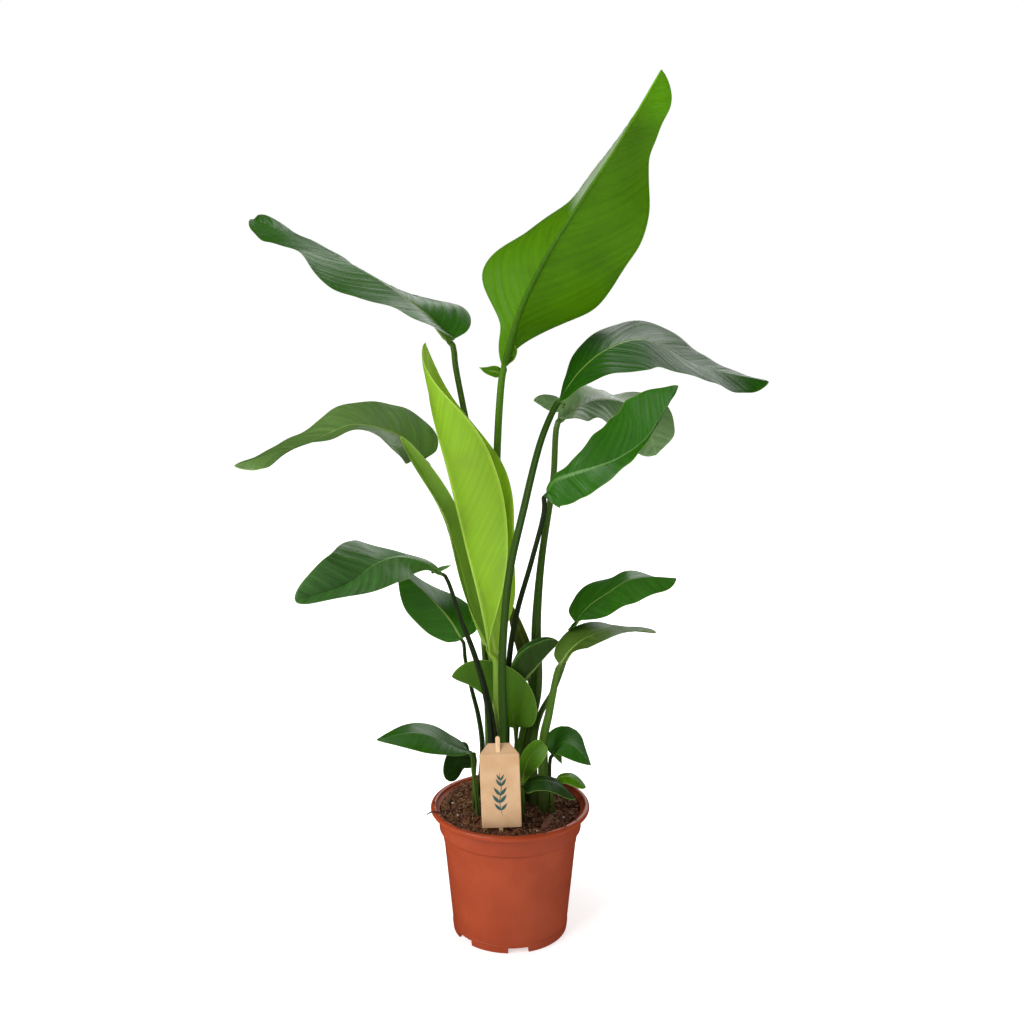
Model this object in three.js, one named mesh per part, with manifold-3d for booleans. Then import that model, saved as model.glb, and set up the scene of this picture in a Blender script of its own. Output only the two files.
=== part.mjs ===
// A young bird of paradise plant in its nursery pot, with a card tag on a wooden stick.
// Millimetres, +Z up. The origin is the middle of the pot's foot, on the surface it stands on,
// and -Y is the side that the tag faces.
import * as THREE from 'three';
import { mergeVertices } from 'three/addons/utils/BufferGeometryUtils.js';
import Module from 'manifold-3d';

const wasm = await Module();
wasm.setup();

// Pot: one thin moulding with a rolled lip, a stepped collar and a notched foot
const POT_HEIGHT = 141;
const POT_LIP_RADIUS = 85;
const POT_LIP_DEPTH = 6.5;
const POT_COLLAR_RADIUS = 76.5;
const POT_SHOULDER_RADIUS = 75.4;
const POT_SHOULDER_HEIGHT = 117;
const POT_STEP_RADIUS = 70.4;
const POT_STEP_HEIGHT = 97;
const POT_FOOT_RADIUS = 61.5;
const POT_FOOT_BAND = 8;
const POT_WALL = 1.6;
const POT_BASE_UNDERSIDE = 6;
const POT_BASE_TOP = 8.5;
const POT_SIDES = 36;
const NOTCH_WIDTH = 22;
const NOTCH_HEIGHT = 6;
const NOTCH_BEARINGS = [8.5, -51.5, 128.5, 188.5, 248.5];
const DRAIN_RADIUS = 5;
const DRAIN_CIRCLE = 44;
const DRAIN_COUNT = 6;

// Soil: peat filled to just under the lip, in a shallow mound
const GAP = 0.3;
const SOIL_EDGE = 129;
const SOIL_CROWN = 5;
const SOIL_RINGS = [0.22, 0.44, 0.66, 0.84, 1];
const SOIL_SIDES = 32;
const HOLE_CLEARANCE = 0.4;
const SOIL_CLEAR = 140;

// Tag: a kraft card folded back at the top, on a flat stick that comes through a slot in the fold
const TAG_WIDTH = 40.5;
const TAG_DROP = 79;
const TAG_FLAP = 11.5;
const TAG_FLAP_TOP_WIDTH = 22.5;
const TAG_FLAP_ANGLE = 35;
const TAG_THICKNESS = 0.8;
const TAG_FOLD_PLACE = [-11, -64, 221];
const TAG_TILT = -2;
const STICK_WIDTH = 4.6;
const STICK_THICKNESS = 2;
const STICK_ABOVE_FOLD = 18.5;
const STICK_FOOT = 72;
const STICK_SIDEWAYS = -1;

// Leaves: how finely each is cut, and how thick a blade and its midrib are
const BLADE_THICKNESS = 0.9;
const MIDRIB_DEPTH = 1.6;
const STALK_SIDES = 8;
const BASE_CROWDING = 1.3;
const MARGIN_SWEEP_POWER = 1.4;
const LAST_ROW = 0.99;
const ROOT_RISE = 40;
const NECK_LENGTH = 6;

// What a leaf has where its own entry says nothing
const LEAF_DEFAULTS = {
  rows: 9,
  columns: 3,
  stalkRows: 9,
  leftShare: 1,
  rightShare: 1,
  leftFull: [1],
  rightFull: [1],
  lean: [-0.5, 0, 0.3],
  curlLeft: [0],
  curlRight: [0],
  finish: 'leaf_green',
};

// Every leaf by the place it has in the plant. Its stalk runs up from the peat to the first point of
// its midrib (rib), face is the way its upper side looks, width is half the blade's breadth, and left
// and right are the degrees by which each half lifts from flat, at even stations from base to tip.
// Where a half is fuller or scanter than its smooth outline, leftFull and rightFull say by how much.
const LEAVES = [
  {
    name: 'leaf_top',
    finish: 'bright_leaf',
    stalk: [
      [-13, 19, 100], [-14, 20, 130], [-15, 20, 203], [-19, 18, 316], [-15, 10, 468],
      [-11, 4, 562],
    ],
    wide: [6, 5.5, 4.5, 4, 3.6],
    deep: [5, 4.6, 4, 3.6, 3.2],
    rib: [
      [-6, 0, 604], [9, -8, 658], [37, -22, 715], [69, -32, 766], [99, -36, 811],
      [142, -30, 884],
    ],
    face: [[-0.25, 0.9, 0.35], [-0.25, 0.9, 0.35], [-0.45, 0.8, 0.2]],
    width: 80,
    outline: [0.5, 0.6],
    lean: [-0.3, 0.1, 0.35, 0.1],
    rightLean: [-0.1, -0.2, 0.3, 0.2, 0.1],
    rightOutline: [0.95, 0.85],
    rightShare: 0.95,
    leftFull: [0.4, 0.8, 1.1, 1.05, 1, 0.88, 0.72, 0.72, 1.2],
    rightFull: [1.1, 0.55, 1.15, 0.8, 0.7, 0.75, 0.6, 0.7, 1],
    left: [70, 12, 5, 18, 0],
    right: [60, 60, 105, 122, 150],
    curlLeft: [10, 10, 10],
    curlRight: [0, 0, 40, 60, 40],
    rows: 14,
    columns: 5,
    stalkRows: 13,
  },
  {
    name: 'leaf_upper_left',
    stalk: [
      [-6, 31, 100], [-6, 31, 130], [-8, 32, 199], [-12, 32, 312], [-27, 26, 455],
      [-48, 14, 566], [-55, 6, 607],
    ],
    wide: [5, 4.4, 3.8, 3.4, 3],
    deep: [4.4, 4, 3.6, 3.2, 3],
    rib: [
      [-61, 4, 631], [-82, 8, 656], [-103, 12, 672], [-134, 20, 693], [-202, 44, 727],
      [-265, 66, 753],
    ],
    face: [[0.4, -0.6, 0.7]],
    width: 57,
    outline: [0.5, 0.55],
    lean: [-0.5, 0, 0.3],
    leftFull: [1.3, 1.2, 0.75, 0.95, 1.1, 0.9, 1, 0.9, 0.8],
    rightFull: [1, 1.2, 1, 1, 1, 1, 0.7, 0.6, 1.1],
    left: [60, 10, 20, 5],
    right: [30, -35, -35, -5],
    rows: 13,
    columns: 4,
    stalkRows: 13,
  },
  {
    name: 'leaf_upper_right',
    stalk: [
      [-4, -17, 100], [-4, -18, 130], [-6, -21, 219], [-8, -29, 277], [-7, -47, 336],
      [0, -65, 412], [12, -61, 466], [31, -30, 536],
    ],
    wide: [5.6, 5, 4.6, 4.4, 4, 3.8, 3.5, 3.3],
    deep: [4.6, 4.4, 4.2, 4, 3.8, 3.6, 3.3, 3],
    rib: [
      [50, -4, 573], [70, 0, 601], [98, 6, 623], [134, 14, 632], [194, 26, 605],
      [267, 33, 588],
    ],
    face: [[-0.3, -0.5, 0.8]],
    width: 56,
    outline: [0.5, 0.75],
    lean: [-0.5, 0, 0.3],
    leftFull: [0.8, 0.85, 1.1, 1.3, 1.2, 1, 0.9, 0.9, 1],
    rightFull: [1, 1, 1.05, 1.2, 1, 1, 1.15, 1, 1],
    left: [-40, -20, -15, -30],
    right: [45, 5, 20, -15],
    rows: 14,
    columns: 4,
    stalkRows: 13,
  },
  {
    name: 'leaf_behind_right',
    stalk: [
      [14, 11, 100], [14, 11, 130], [16, 13, 206], [27, 16, 261], [28, 20, 338], [33, 24, 402],
      [45, 30, 486],
    ],
    wide: [9, 8.6, 8, 5.6, 4, 3.4, 3.2],
    deep: [6.5, 6, 5.4, 4.6, 3.8, 3.2, 3],
    rib: [
      [54, 32, 550], [71, 40, 563], [94, 48, 569], [126, 64, 562], [148, 86, 540],
      [160, 98, 503],
    ],
    face: [[-0.4, -0.5, 0.75], [-0.2, -0.6, 0.75], [0.3, -0.7, 0.6]],
    width: 50,
    outline: [0.5, 0.6],
    lean: [-0.5, 0, 0],
    leftFull: [0.6, 0.9, 1.2, 1.2, 1, 1, 1.3, 1.2, 1.6],
    rightFull: [1, 1, 0.7, 1.2, 1.2, 1.2, 1, 1, 1.1],
    left: [-40, -20, -25, 15],
    right: [35, -15, -40, -10],
    rows: 11,
    columns: 4,
    stalkRows: 13,
  },
  {
    name: 'leaf_mid_right',
    stalk: [
      [-4, 13, 100], [-4, 14, 130], [-4, 14, 206], [-1, 12, 298], [7, 0, 351], [22, -24, 413],
      [34, -40, 468],
    ],
    wide: [4.4, 4, 3.6, 3, 2.8],
    deep: [4, 3.6, 3.2, 2.8, 2.6],
    rib: [
      [36, -43, 484], [43, -49, 497], [61, -58, 506], [85, -70, 515], [104, -77, 524],
      [128, -84, 543], [158, -82, 593],
    ],
    face: [[-0.6, 0.1, 0.7]],
    width: 53,
    outline: [0.5, 0.7],
    lean: [-0.5, 0, 0.3],
    leftFull: [0.15, 0.2, 0.35, 0.75, 1, 1.1, 1.2, 1.15, 0.7],
    rightFull: [0.9, 0.65, 0.55, 0.4, 0.25, 0.3, 0.5, 0.7, 1],
    left: [50, 40, 45, 50],
    right: [-60, -75, -40, 0, 5],
    rows: 13,
    columns: 4,
    stalkRows: 13,
  },
  {
    name: 'leaf_mid_left',
    stalk: [
      [-23, 12, 100], [-23, 12, 130], [-23, 12, 207], [-26, 12, 296], [-34, 10, 373],
      [-53, 8, 437], [-74, 4, 485],
    ],
    wide: [4.6, 4.2, 3.8, 3.4, 3],
    deep: [4, 3.6, 3.2, 3, 2.8],
    rib: [
      [-88, 2, 511], [-101, -2, 528], [-122, -10, 542], [-157, -18, 549], [-193, -24, 535],
      [-273, -33, 510],
    ],
    face: [[0.5, -0.5, 0.7]],
    width: 43,
    outline: [0.5, 0.8],
    lean: [-0.5, 0, 0.3],
    leftFull: [0.2, 0.75, 0.95, 0.85, 0.8, 0.9, 1.5, 0.9, 0.9],
    rightFull: [1, 1.05, 1, 0.9, 0.85, 1.1, 1.3, 1, 1],
    left: [-35, 30, 50, -10],
    right: [30, -5, -37, -38],
    rows: 13,
    columns: 4,
    stalkRows: 13,
  },
  {
    name: 'leaf_spear',
    finish: 'bright_leaf',
    stalk: [[-20, 3, 100], [-20, 3, 130], [-17, 4, 210], [-16, 4, 255], [-18, 4, 286]],
    wide: [4, 3.8, 3.4, 3, 2.8],
    deep: [3.4, 3.2, 3, 2.8, 2.6],
    rib: [
      [-23, 3, 311], [-41, 1, 358], [-54, -3, 412], [-66, -7, 452], [-85, -13, 495],
      [-109, -21, 538],
    ],
    face: [[0.5, -0.8, 0.1]],
    width: 17,
    outline: [0.5, 0.5],
    lean: [0, 0.2],
    leftFull: [0.6, 0.8, 1.2, 1.2, 0.6],
    rightFull: [1, 1, 1, 0.9, 0.6],
    left: [70, 50, 65, 25],
    right: [20, 15, 15, 10],
    curlLeft: [30, 30],
    curlRight: [30, 30],
    rows: 12,
    columns: 2,
    stalkRows: 8,
  },
  {
    name: 'leaf_young',
    finish: 'young_leaf',
    stalk: [[-8, -6, 100], [-8, -6, 130], [-9, -8, 214], [-13, -11, 258]],
    wide: [6.4, 6, 5.4, 5],
    deep: [4.8, 4.8, 4.6, 4.4],
    rib: [
      [-15, -12, 307], [-26, -14, 361], [-43, -16, 426], [-60, -18, 499], [-78, -16, 569],
      [-84, -10, 630],
    ],
    face: [[0.95, -0.15, 0.2]],
    width: 54,
    outline: [0.6, 0.8],
    lean: [0.1, 0.3, 0.4],
    rightFull: [0.2, 0.75, 0.95, 1.1, 1.1, 1.02, 0.98, 1, 1],
    left: [-10, 65, 70, -20],
    right: [70, 105, 45, 0],
    curlLeft: [20, 60, 50],
    curlRight: [40, 60, 40],
    rows: 14,
    columns: 5,
    stalkRows: 8,
  },
  {
    name: 'leaf_low_left',
    stalk: [
      [-20, -16, 100], [-20, -16, 130], [-18, -18, 220], [-26, -23, 275], [-37, -28, 316],
      [-50, -33, 354],
    ],
    wide: [7.4, 7, 5.4, 3.4, 2.5, 1.9],
    deep: [5.6, 5.2, 4.2, 3.2, 2.5, 1.9],
    rib: [
      [-69, -38, 402], [-84, -46, 415], [-108, -58, 424], [-128, -74, 421], [-157, -96, 405],
      [-201, -120, 395],
    ],
    face: [[0.3, -0.55, 0.75]],
    width: 36,
    outline: [0.5, 0.7],
    lean: [-0.5, 0, 0.3],
    leftFull: [0.3, 0.3, 0.6, 0.9, 1, 1.05, 1, 1, 1.2],
    rightFull: [0.3, 0.4, 0.5, 1.1, 1.05, 1.05, 1.1, 1.05, 1.1],
    left: [0, 5, 35, 30],
    right: [-10, -35, 35, 25],
    rows: 12,
    columns: 4,
    stalkRows: 11,
  },
  {
    name: 'leaf_low_left_back',
    stalk: [
      [-34, 20, 100], [-34, 20, 130], [-30, 22, 194], [-34, 22, 229], [-41, 22, 259],
      [-48, 19, 296],
    ],
    wide: [4, 3.4, 2.8, 2.2, 1.9],
    deep: [3.4, 3, 2.6, 2.2, 1.9],
    rib: [[-52, 16, 318], [-64, 14, 340], [-84, 10, 365], [-102, 5, 383], [-116, 2, 395]],
    face: [[0.3, -0.75, 0.55]],
    width: 31,
    outline: [0.45, 0.7],
    lean: [-0.35, 0, 0.3],
    leftFull: [0.8, 0.95, 1, 1, 1],
    left: [-50, -40, 15],
    right: [50, -40, -35],
    rows: 10,
    columns: 4,
    stalkRows: 9,
  },
  {
    name: 'leaf_right_high',
    stalk: [
      [25, 0, 100], [26, 0, 130], [26, 1, 215], [33, 2, 242], [46, 5, 265], [59, 11, 300],
    ],
    wide: [5, 4.4, 3.8, 3, 2.6, 2.3],
    deep: [4, 3.8, 3.4, 2.8, 2.6, 2.3],
    rib: [
      [69, 7, 338], [82, -2, 358], [100, -13, 375], [120, -23, 391], [141, -33, 397],
      [166, -42, 398],
    ],
    face: [[-0.2, -0.6, 0.75]],
    width: 38,
    outline: [0.5, 0.7],
    lean: [-0.5, 0, 0.3],
    left: [5, -35, -70],
    right: [60, 15, -5],
    rows: 10,
    columns: 3,
    stalkRows: 9,
  },
  {
    name: 'leaf_right_low',
    stalk: [[35, -16, 100], [36, -16, 130], [35, -19, 219], [40, -24, 248], [45, -29, 278]],
    wide: [6, 5.8, 5.2, 4.2, 3.2],
    deep: [5, 4.8, 4.2, 3.6, 2.8],
    rib: [
      [52, -33, 305], [61, -37, 321], [74, -44, 335], [90, -53, 345], [107, -63, 351],
      [143, -78, 352],
    ],
    face: [[-0.25, -0.75, 0.55]],
    width: 34,
    outline: [0.5, 0.9],
    lean: [-0.5, 0, 0.3],
    leftFull: [0.6, 0.8, 1.05, 1.2, 1, 0.9, 1.1, 1.2, 1.5],
    rightFull: [1, 1, 0.6, 0.8, 1.2, 1.8, 1, 1, 1],
    left: [-5, -60, -55],
    right: [60, 50, 80],
    rows: 11,
    columns: 3,
    stalkRows: 8,
  },
  {
    name: 'leaf_mid_fold',
    stalk: [[4, 4, 100], [4, 4, 130], [6, 4, 206], [9, 3, 245]],
    wide: [2.6, 2.4, 2.2, 1.9],
    deep: [2.4, 2.2, 2, 1.8],
    rib: [
      [12, 2, 270], [17, 2, 280], [25, 2, 289], [34, 2, 300], [43, 2, 310],
      [52, 4, 318],
    ],
    face: [[-0.6, 0, 0.8]],
    width: 25,
    outline: [0.45, 0.6],
    lean: [0.2, 0, 0.1],
    left: [75, 75, 65],
    right: [88, 74, 60],
    rows: 9,
    columns: 3,
    stalkRows: 8,
  },
  {
    name: 'leaf_mid_front',
    finish: 'bright_leaf',
    stalk: [[6, -4, 100], [6, -4, 130], [7, -4, 200]],
    wide: [2.8, 2.4, 2],
    deep: [2.6, 2.2, 2],
    rib: [
      [5, -4, 227], [2, -4, 247], [-7, -4, 264], [-21, -5, 275], [-38, -7, 283],
      [-61, -10, 285],
    ],
    face: [[0, -0.95, 0.1]],
    width: 29,
    outline: [0.4, 0.75],
    lean: [-0.25, 0, 0.2],
    leftShare: 0.55,
    left: [-10, -10, -10],
    right: [25, 10, -10],
    rows: 11,
    columns: 4,
    stalkRows: 7,
  },
  {
    name: 'leaf_base_left',
    stalk: [[-31, -25, 100], [-32, -26, 126], [-38, -30, 188]],
    wide: [3, 2.6, 2.1],
    deep: [2.8, 2.4, 2.1],
    rib: [
      [-45, -36, 213], [-60, -42, 223], [-75, -50, 234], [-96, -62, 243], [-115, -74, 245],
      [-132, -84, 244],
    ],
    face: [[0.2, -0.6, 0.75]],
    width: 26,
    outline: [0.5, 0.75],
    lean: [-0.5, 0, 0.3],
    left: [70, 10, 25],
    right: [-30, -35, -60],
    rows: 8,
    columns: 3,
    stalkRows: 6,
  },
  {
    name: 'leaf_base_left_small',
    stalk: [[-37, -10, 100], [-38, -10, 126], [-38, -12, 176]],
    wide: [2.6, 2.2, 1.9],
    deep: [2.4, 2.1, 1.9],
    rib: [[-42, -14, 200], [-49, -20, 201], [-57, -26, 195], [-63, -32, 178]],
    face: [[0.35, -0.75, 0.5]],
    width: 16,
    outline: [0.4, 0.5],
    lean: [-0.4, 0],
    left: [30, -30, -20],
    right: [-5, 25, 20],
    rows: 7,
    columns: 2,
    stalkRows: 6,
  },
  {
    name: 'leaf_base_right',
    stalk: [[42, -2, 100], [42, -2, 130], [42, -4, 172]],
    wide: [2.6, 2.2, 1.9],
    deep: [2.4, 2.1, 1.9],
    rib: [[45, -6, 197], [50, -10, 208], [57, -16, 216], [67, -24, 213], [84, -32, 196]],
    face: [[-0.1, -0.7, 0.65]],
    width: 22,
    outline: [0.45, 0.85],
    lean: [-0.2, 0, 0.2],
    left: [10, -35, -60],
    right: [20, 20, 40],
    rows: 8,
    columns: 3,
    stalkRows: 5,
  },
  {
    name: 'leaf_rim_right',
    finish: 'bright_leaf',
    stalk: [[47, -19, 100], [47, -19, 124]],
    wide: [2.4, 2.1, 1.8],
    deep: [2.3, 2, 1.8],
    rib: [[47, -22, 172], [53, -27, 181], [62, -34, 184], [78, -44, 176]],
    face: [[0, -0.5, 0.85]],
    width: 9,
    outline: [0.45, 0.6],
    lean: [-0.2, 0.2],
    left: [-20, -25],
    right: [-20, 0],
    rows: 7,
    columns: 2,
    stalkRows: 5,
  },
  {
    name: 'leaf_low_dark',
    stalk: [[15, -33, 100], [15, -35, 126]],
    wide: [2.6, 2.3, 2],
    deep: [2.4, 2.2, 2],
    rib: [[14, -46, 179], [29, -52, 188], [46, -58, 188], [67, -62, 172]],
    face: [[0, -0.5, 0.85]],
    width: 16,
    outline: [0.45, 0.7],
    lean: [-0.2, 0.2],
    left: [-25, -55],
    right: [5, 20],
    rows: 7,
    columns: 2,
    stalkRows: 5,
  },
  {
    name: 'leaf_small_bright',
    finish: 'bright_leaf',
    stalk: [[14, -18, 100], [14, -20, 128]],
    wide: [4, 3.4, 2.8],
    deep: [3.2, 2.8, 2.4],
    rib: [[13, -30, 176], [15, -34, 192], [21, -36, 208], [34, -34, 222]],
    face: [[0.2, -0.9, 0.3]],
    width: 14,
    outline: [0.9, 0.5],
    lean: [0, 0.3],
    left: [45, 35],
    right: [25, 25],
    curlLeft: [20, 20],
    curlRight: [20, 20],
    rows: 7,
    columns: 2,
    stalkRows: 5,
  },
  {
    name: 'sheath_olive',
    finish: 'old_leaf',
    stalk: [[24, 22, 100], [24, 23, 130], [24, 27, 201], [24, 30, 239]],
    wide: [6.4, 6, 5.4, 4.4],
    deep: [2.8, 2.8, 2.6, 2.4],
    rib: [[23, 32, 267], [17, 32, 301], [8, 32, 329], [-1, 30, 355]],
    face: [[0.3, -0.9, 0.2]],
    width: 11,
    outline: [0.35, 0.6],
    lean: [0, 0.2],
    left: [15, 5],
    right: [70, 70],
    curlLeft: [20, 20],
    curlRight: [20, 20],
    rows: 8,
    columns: 2,
    stalkRows: 7,
  },
];

const degrees = THREE.MathUtils.degToRad;

// A value that passes through evenly spaced stations, on a Catmull-Rom curve
function through(stations, t) {
  if (stations.length === 1) return stations[0];
  const span = stations.length - 1;
  const i = Math.min(Math.floor(t * span), span - 1);
  const f = t * span - i;
  const here = stations[i];
  const next = stations[i + 1];
  const before = i > 0 ? stations[i - 1] : 2 * here - next;
  const after = i + 2 <= span ? stations[i + 2] : 2 * next - here;
  return 0.5 * (2 * here + (next - before) * f + (2 * before - 5 * here + 4 * next - after) * f * f
    + (3 * here - before - 3 * next + after) * f * f * f);
}

function vectorThrough(stations, t) {
  return new THREE.Vector3(...[0, 1, 2].map((k) => through(stations.map((p) => p[k]), t)));
}

function routeOf(points) {
  return new THREE.CatmullRomCurve3(points.map((p) => new THREE.Vector3(...p)), false, 'centripetal');
}

// At a place on a route: the point, the way along, the upper side and the leaf's own right
function stationOn(route, t, face) {
  const point = route.getPointAt(t);
  const along = route.getTangentAt(t);
  const up = face.clone().addScaledVector(along, -face.dot(along)).normalize();
  return { point, along, up, right: along.clone().cross(up) };
}

// Half-width of a blade along its midrib, as a share of its widest: s^a (1-s)^b, scaled to peak at 1
function bladeShare(s, [a, b]) {
  const widest = a / (a + b);
  return (s / widest) ** a * ((1 - s) / (1 - widest)) ** b;
}

// What one half of a blade follows: the left half is side -1 and the right half side 1
function halfOf(leaf, side) {
  if (side < 0) {
    return {
      outline: leaf.outline, share: leaf.leftShare, full: leaf.leftFull, lean: leaf.lean,
      rise: leaf.left, curl: leaf.curlLeft,
    };
  }
  return {
    outline: leaf.rightOutline ?? leaf.outline, share: leaf.rightShare, full: leaf.rightFull,
    lean: leaf.rightLean ?? leaf.lean, rise: leaf.right, curl: leaf.curlRight,
  };
}

// The middle surface of a blade, in rows from base to tip and columns from left margin to right.
// Each half leaves the midrib at its own rise, bends by its curl, and sweeps along by its lean.
// The first row is as wide as the stalk that it grows from, and rises no more than ROOT_RISE.
function bladeRows(leaf) {
  const route = routeOf(leaf.rib);
  const rows = [];
  for (let i = 0; i < leaf.rows; i++) {
    const s = LAST_ROW * (i / (leaf.rows - 1)) ** BASE_CROWDING;
    const { point, along, up, right } = stationOn(route, s, vectorThrough(leaf.face, s));
    const row = [point];
    for (const side of [-1, 1]) {
      const half = halfOf(leaf, side);
      const broad = leaf.width * half.share * bladeShare(s, half.outline) * through(half.full, s);
      const width = i > 0 ? broad : leaf.wide[leaf.wide.length - 1];
      const lean = i > 0 ? through(half.lean, s) : 0;
      const curl = i > 0 ? degrees(through(half.curl, s)) : 0;
      const widest = degrees(i > 0 ? 180 : ROOT_RISE);
      const rise = THREE.MathUtils.clamp(degrees(through(half.rise, s)), -widest, widest);
      const across = point.clone();
      for (let k = 1; k <= leaf.columns; k++) {
        const angle = rise + curl * ((k - 0.5) / leaf.columns - 0.5);
        const step = width / leaf.columns;
        across.addScaledVector(right, side * step * Math.cos(angle)).addScaledVector(up, step * Math.sin(angle));
        const sweep = width * lean * (k / leaf.columns) ** MARGIN_SWEEP_POWER;
        const place = across.clone().addScaledVector(along, sweep);
        if (side < 0) row.unshift(place);
        else row.push(place);
      }
    }
    rows.push(row);
  }
  return rows;
}

// Unit normals of a grid of points, on the upper side. The first row is so narrow that it takes the
// midrib's own direction at every column.
function gridNormals(rows) {
  const middle = (rows[0].length - 1) / 2;
  return rows.map((row, i) => row.map((_, j) => {
    const column = i === 0 ? middle : j;
    const along = rows[Math.min(i + 1, rows.length - 1)][column].clone().sub(rows[Math.max(i - 1, 0)][column]);
    const across = row[Math.min(j + 1, row.length - 1)].clone().sub(row[Math.max(j - 1, 0)]);
    return across.cross(along).normalize();
  }));
}

// Rings of an oval stalk from its foot in the soil to the neck just below the blade, fattened by extra.
// The neck lies on the midrib's own line, so that the stalk turns into it smoothly.
function stalkRings(leaf, extra = 0) {
  const [first, second] = leaf.rib.map((point) => new THREE.Vector3(...point));
  const neck = first.clone().addScaledVector(second.clone().sub(first).normalize(), -NECK_LENGTH);
  const route = routeOf([...leaf.stalk, neck.toArray(), leaf.rib[0]]);
  const end = 1 - NECK_LENGTH / route.getLength();
  const rings = [];
  for (let i = 0; i < leaf.stalkRows; i++) {
    const t = end * i / (leaf.stalkRows - 1);
    const { point, up, right } = stationOn(route, t, vectorThrough(leaf.face.slice(0, 1), 0));
    const wide = through(leaf.wide, t) + extra;
    const deep = through(leaf.deep, t) + extra;
    const ring = [];
    for (let k = 0; k < STALK_SIDES; k++) {
      const turn = Math.PI - 2 * Math.PI * k / STALK_SIDES;
      ring.push(point.clone().addScaledVector(right, wide * Math.cos(turn)).addScaledVector(up, deep * Math.sin(turn)));
    }
    rings.push(ring);
  }
  return rings;
}

// Collects triangles over shared points and makes the closed geometry
class Skin {
  constructor() {
    this.points = [];
    this.faces = [];
  }

  add(point) {
    this.points.push(point.x, point.y, point.z);
    return this.points.length / 3 - 1;
  }

  addAll(points) {
    return points.map((point) => this.add(point));
  }

  triangle(a, b, c) {
    this.faces.push(a, b, c);
  }

  quad(a, b, c, d) {
    this.triangle(a, b, c);
    this.triangle(a, c, d);
  }

  // Joins two closed rings that start at the same side and run the same way round
  belt(lower, upper) {
    let i = 0;
    let j = 0;
    while (i < lower.length || j < upper.length) {
      const a = lower[i % lower.length];
      const b = upper[j % upper.length];
      if (j >= upper.length || (i < lower.length && (i + 0.5) / lower.length <= (j + 0.5) / upper.length)) {
        this.triangle(a, lower[(i + 1) % lower.length], b);
        i += 1;
      } else {
        this.triangle(a, upper[(j + 1) % upper.length], b);
        j += 1;
      }
    }
  }

  cap(ring, turned) {
    for (let k = 1; k < ring.length - 1; k++) {
      if (turned) this.triangle(ring[0], ring[k + 1], ring[k]);
      else this.triangle(ring[0], ring[k], ring[k + 1]);
    }
  }

  geometry() {
    const geometry = new THREE.BufferGeometry();
    geometry.setAttribute('position', new THREE.Float32BufferAttribute(this.points, 3));
    geometry.setIndex(this.faces);
    geometry.computeVertexNormals();
    return geometry;
  }
}

// One leaf as it grew: stalk, midrib and blade in one skin
function leafGeometry(leaf) {
  const skin = new Skin();
  const rows = bladeRows(leaf);
  const normals = gridNormals(rows);
  const middle = leaf.columns;
  const half = BLADE_THICKNESS / 2;
  const top = rows.map((row, i) => skin.addAll(row.map((p, j) => p.clone().addScaledVector(normals[i][j], half))));
  const under = rows.map((row, i) => skin.addAll(row.map((p, j) => {
    const fade = 1 - i / (rows.length - 1);
    const depth = j === middle ? half + MIDRIB_DEPTH * fade : half;
    return p.clone().addScaledVector(normals[i][j], -depth);
  })));
  for (let i = 0; i < rows.length - 1; i++) {
    for (let j = 0; j < 2 * middle; j++) {
      if (j < middle) {
        skin.quad(top[i][j], top[i][j + 1], top[i + 1][j + 1], top[i + 1][j]);
        skin.quad(under[i][j], under[i + 1][j], under[i + 1][j + 1], under[i][j + 1]);
      } else {
        skin.quad(top[i + 1][j], top[i][j], top[i][j + 1], top[i + 1][j + 1]);
        skin.quad(under[i][j + 1], under[i][j], under[i + 1][j], under[i + 1][j + 1]);
      }
    }
    skin.quad(under[i][0], top[i][0], top[i + 1][0], under[i + 1][0]);
    skin.quad(top[i][2 * middle], under[i][2 * middle], under[i + 1][2 * middle], top[i + 1][2 * middle]);
  }
  const last = rows.length - 1;
  for (let j = 0; j < 2 * middle; j++) skin.quad(top[last][j], top[last][j + 1], under[last][j + 1], under[last][j]);

  const rings = stalkRings(leaf).map((ring) => skin.addAll(ring));
  for (let i = 0; i < rings.length - 1; i++) skin.belt(rings[i], rings[i + 1]);
  skin.belt(rings[rings.length - 1], [...top[0], ...under[0].slice().reverse()]);
  skin.cap(rings[0], true);
  return skin.geometry();
}

function solidOf(geometry) {
  const bare = geometry.clone();
  bare.deleteAttribute('normal');
  bare.deleteAttribute('uv');
  const merged = mergeVertices(bare, 1e-4);
  return new wasm.Manifold(new wasm.Mesh({
    numProp: 3,
    vertProperties: new Float32Array(merged.attributes.position.array),
    triVerts: new Uint32Array(merged.index.array),
  }));
}

function geometryOf(solid) {
  const mesh = solid.getMesh();
  const geometry = new THREE.BufferGeometry();
  geometry.setAttribute('position', new THREE.BufferAttribute(new Float32Array(mesh.vertProperties), 3));
  geometry.setIndex(new THREE.BufferAttribute(new Uint32Array(mesh.triVerts), 1));
  geometry.computeVertexNormals();
  return geometry;
}

function cutAll(geometry, cutters) {
  return geometryOf(cutters.reduce((solid, cutter) => solid.subtract(solidOf(cutter)), solidOf(geometry)));
}

function lathed(profile, sides) {
  const geometry = new THREE.LatheGeometry(profile.map(([r, z]) => new THREE.Vector2(r, z)), sides);
  return geometry.rotateX(Math.PI / 2);
}

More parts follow.
